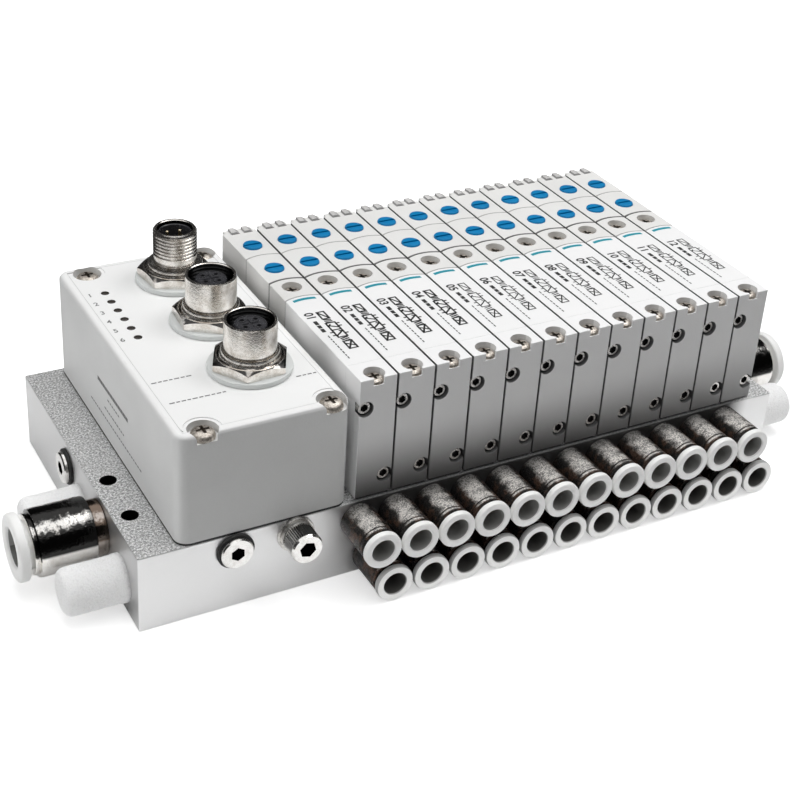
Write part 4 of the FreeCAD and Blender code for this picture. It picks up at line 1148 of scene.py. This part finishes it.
def numbered(places, aside, height, turn, weight, form="%d"):
    # The numbers from 1, each moved aside from its place.
    numbers = []
    for number, place in enumerate(places, start=1):
        deselectAll()
        bpy.ops.object.text_add(location=[a + b for a, b in zip(place, aside)], rotation=(0, 0, turn))
        words = bpy.context.object
        adjust(words.data, body=form % number, size=height, align_x="CENTER", align_y="CENTER",
               offset=weight, resolution_u=3)
        bpy.ops.object.convert(target="MESH")
        numbers.append(applied())
    return numbers


thickSymbols = stamped(flowSymbol(ink["thick"]), valvePlaces[:ink["thickSymbols"]])
thinSymbols = stamped(flowSymbol(ink["thin"]), valvePlaces[ink["thickSymbols"]:])
stationNumbers = numbered(valvePlaces, (ink["numberX"], ink["numberY"], ink["thickness"]),
                          ink["numberHeight"], -math.pi / 2, 0.1, "%02d")
boldDashes = dashRow(ink["numberX"], ink["boldStart"], ink["boldEnd"], 1.1, 0.35)
fineDashes = dashRow(ink["numberX"], ink["fineStart"], ink["fineEnd"], 0.34)
dashes = stamped(merged(boldDashes, fineDashes), valvePlaces)
settle(merged(thickSymbols, thinSymbols, dashes, *stationNumbers), "valvePrint", "ink")
settle(stamped(tealBar(), valvePlaces), "tealBars", "teal")
lampNumbers = merged(*numbered(lampPlaces, (-4.2, 0, 0.02), 2.6, 0, 0.04))
settle(lampNumbers, "lampNumbers", "paleInk")

# Rows of dashes on the box: across, start, end, width and gap.
topRows = merged(*[dashRow(*values) for values in (
    (-20.1, 83.8, 74.2, 0.45), (-30.8, 49.4, 43.6, 0.45), (-30.5, 83.0, 69.0, 0.45))])
sideRows = merged(*[dashRow(*values) for values in (
    (38.6, 11.5, -11.5, 1.2, 0.1), (35.8, 4.2, -3.9, 0.5), (32.1, 6.9, -7.4, 0.5), (28.9, 18.2, -20.3, 0.5))])
housingPrint = merged(stamped(topRows, [(0, 0, bus["top"])], (0, 0, math.pi / 2)),
                      stamped(sideRows, [(bus["left"], 0, 0)], outward["left"]))
settle(housingPrint, "housingPrint", "paleInk")


# Floor, world and lamps

print("studio")


def floorLook():
    # Lit rays meet pale paper, mirrors see it white near the part and dark beyond, the camera sees it white.
    finish = Finish("floorPaper", Roughness=0.9)
    x, y, z = finish.axes()
    halfX, halfY = 121.0, 61.0
    away = (abs(x) - halfX).most(abs(y) - halfY)
    mirrored = finish.ray("Glossy")
    finish.colour(finish.blend(mirrored, 0.8, 0.97))
    finish.darken(mirrored * finish.range(away, 25.0, 75.0), 0.03)
    glow = finish.blend(finish.smooth(away, 150.0, 700.0), 0.55, 1.0)
    paper = finish.add("ShaderNodeBsdfPrincipled", None, {
        "Base Color": paint(0.8), "Roughness": 0.9, "Emission Color": glow, "Emission Strength": 1.0})
    seen = finish.ray("Camera").most(finish.ray("Transmission"))
    mix = finish.add("ShaderNodeMixShader", None, {0: seen, 1: Wire(finish.shader.outputs[0]), 2: paper})
    feed(finish.tree.nodes["Material Output"].inputs["Surface"], mix)
    return finish.material


deselectAll()
bpy.ops.mesh.primitive_plane_add(size=6, location=(0, 0, 0))
floor = bpy.context.object
floor.name = "floor"
floor.data.materials.append(floorLook())

# The studio that metal mirrors: white below, a dark wall and a bright ceiling.
world = bpy.data.worlds.new("studio")
bpy.context.scene.world = world
world.use_nodes = True
sky = Shader(world.node_tree)
level = sky.split(sky.add("ShaderNodeTexCoord", output="Generated"))[2] * 0.5 + 0.5
skyStops = ((0.0, 0.9), (0.49, 0.9), (0.51, 0.03), (0.83, 0.04), (0.87, 1.1), (1.0, 1.0))
studio = sky.add("ShaderNodeValToRGB", {"stops": skyStops}, {0: level})
lighting = sky.blend(sky.ray("Glossy"), 0.06, studio)
feed(world.node_tree.nodes["Background"].inputs["Color"], sky.blend(sky.ray("Camera"), lighting, 1.0))


def softbox(name, location, target, size, energy, mirrored=False, height=0.0, spread=180):
    deselectAll()
    bpy.ops.object.light_add(type="AREA", location=location)
    light = bpy.context.object
    light.name = name
    adjust(light.data, size=size, energy=energy, spread=math.radians(spread))
    if height:
        adjust(light.data, shape="RECTANGLE", size_y=height)
    way = [a - b for a, b in zip(location, target)]
    light.rotation_euler = (math.atan2(math.hypot(way[0], way[1]), way[2]), 0, math.atan2(way[0], -way[1]))
    light.visible_glossy = mirrored


softbox("overhead", (0.02, -0.02, 0.8), (0, 0, 0.03), 0.9, 5.9)
softbox("leftFill", (-0.75, 0.05, 0.35), (-0.05, 0, 0.03), 0.5, 1.8)
softbox("ringLight", (0.1, -0.6, 0.03), (0.04, -0.06, -0.02), 0.3, 0.028, height=0.02, spread=8)
softbox("fittingLight", (0.25, -0.05, 0.5), (0.05, -0.05, 0.02), 0.25, 0.7, mirrored=True)

print("done")
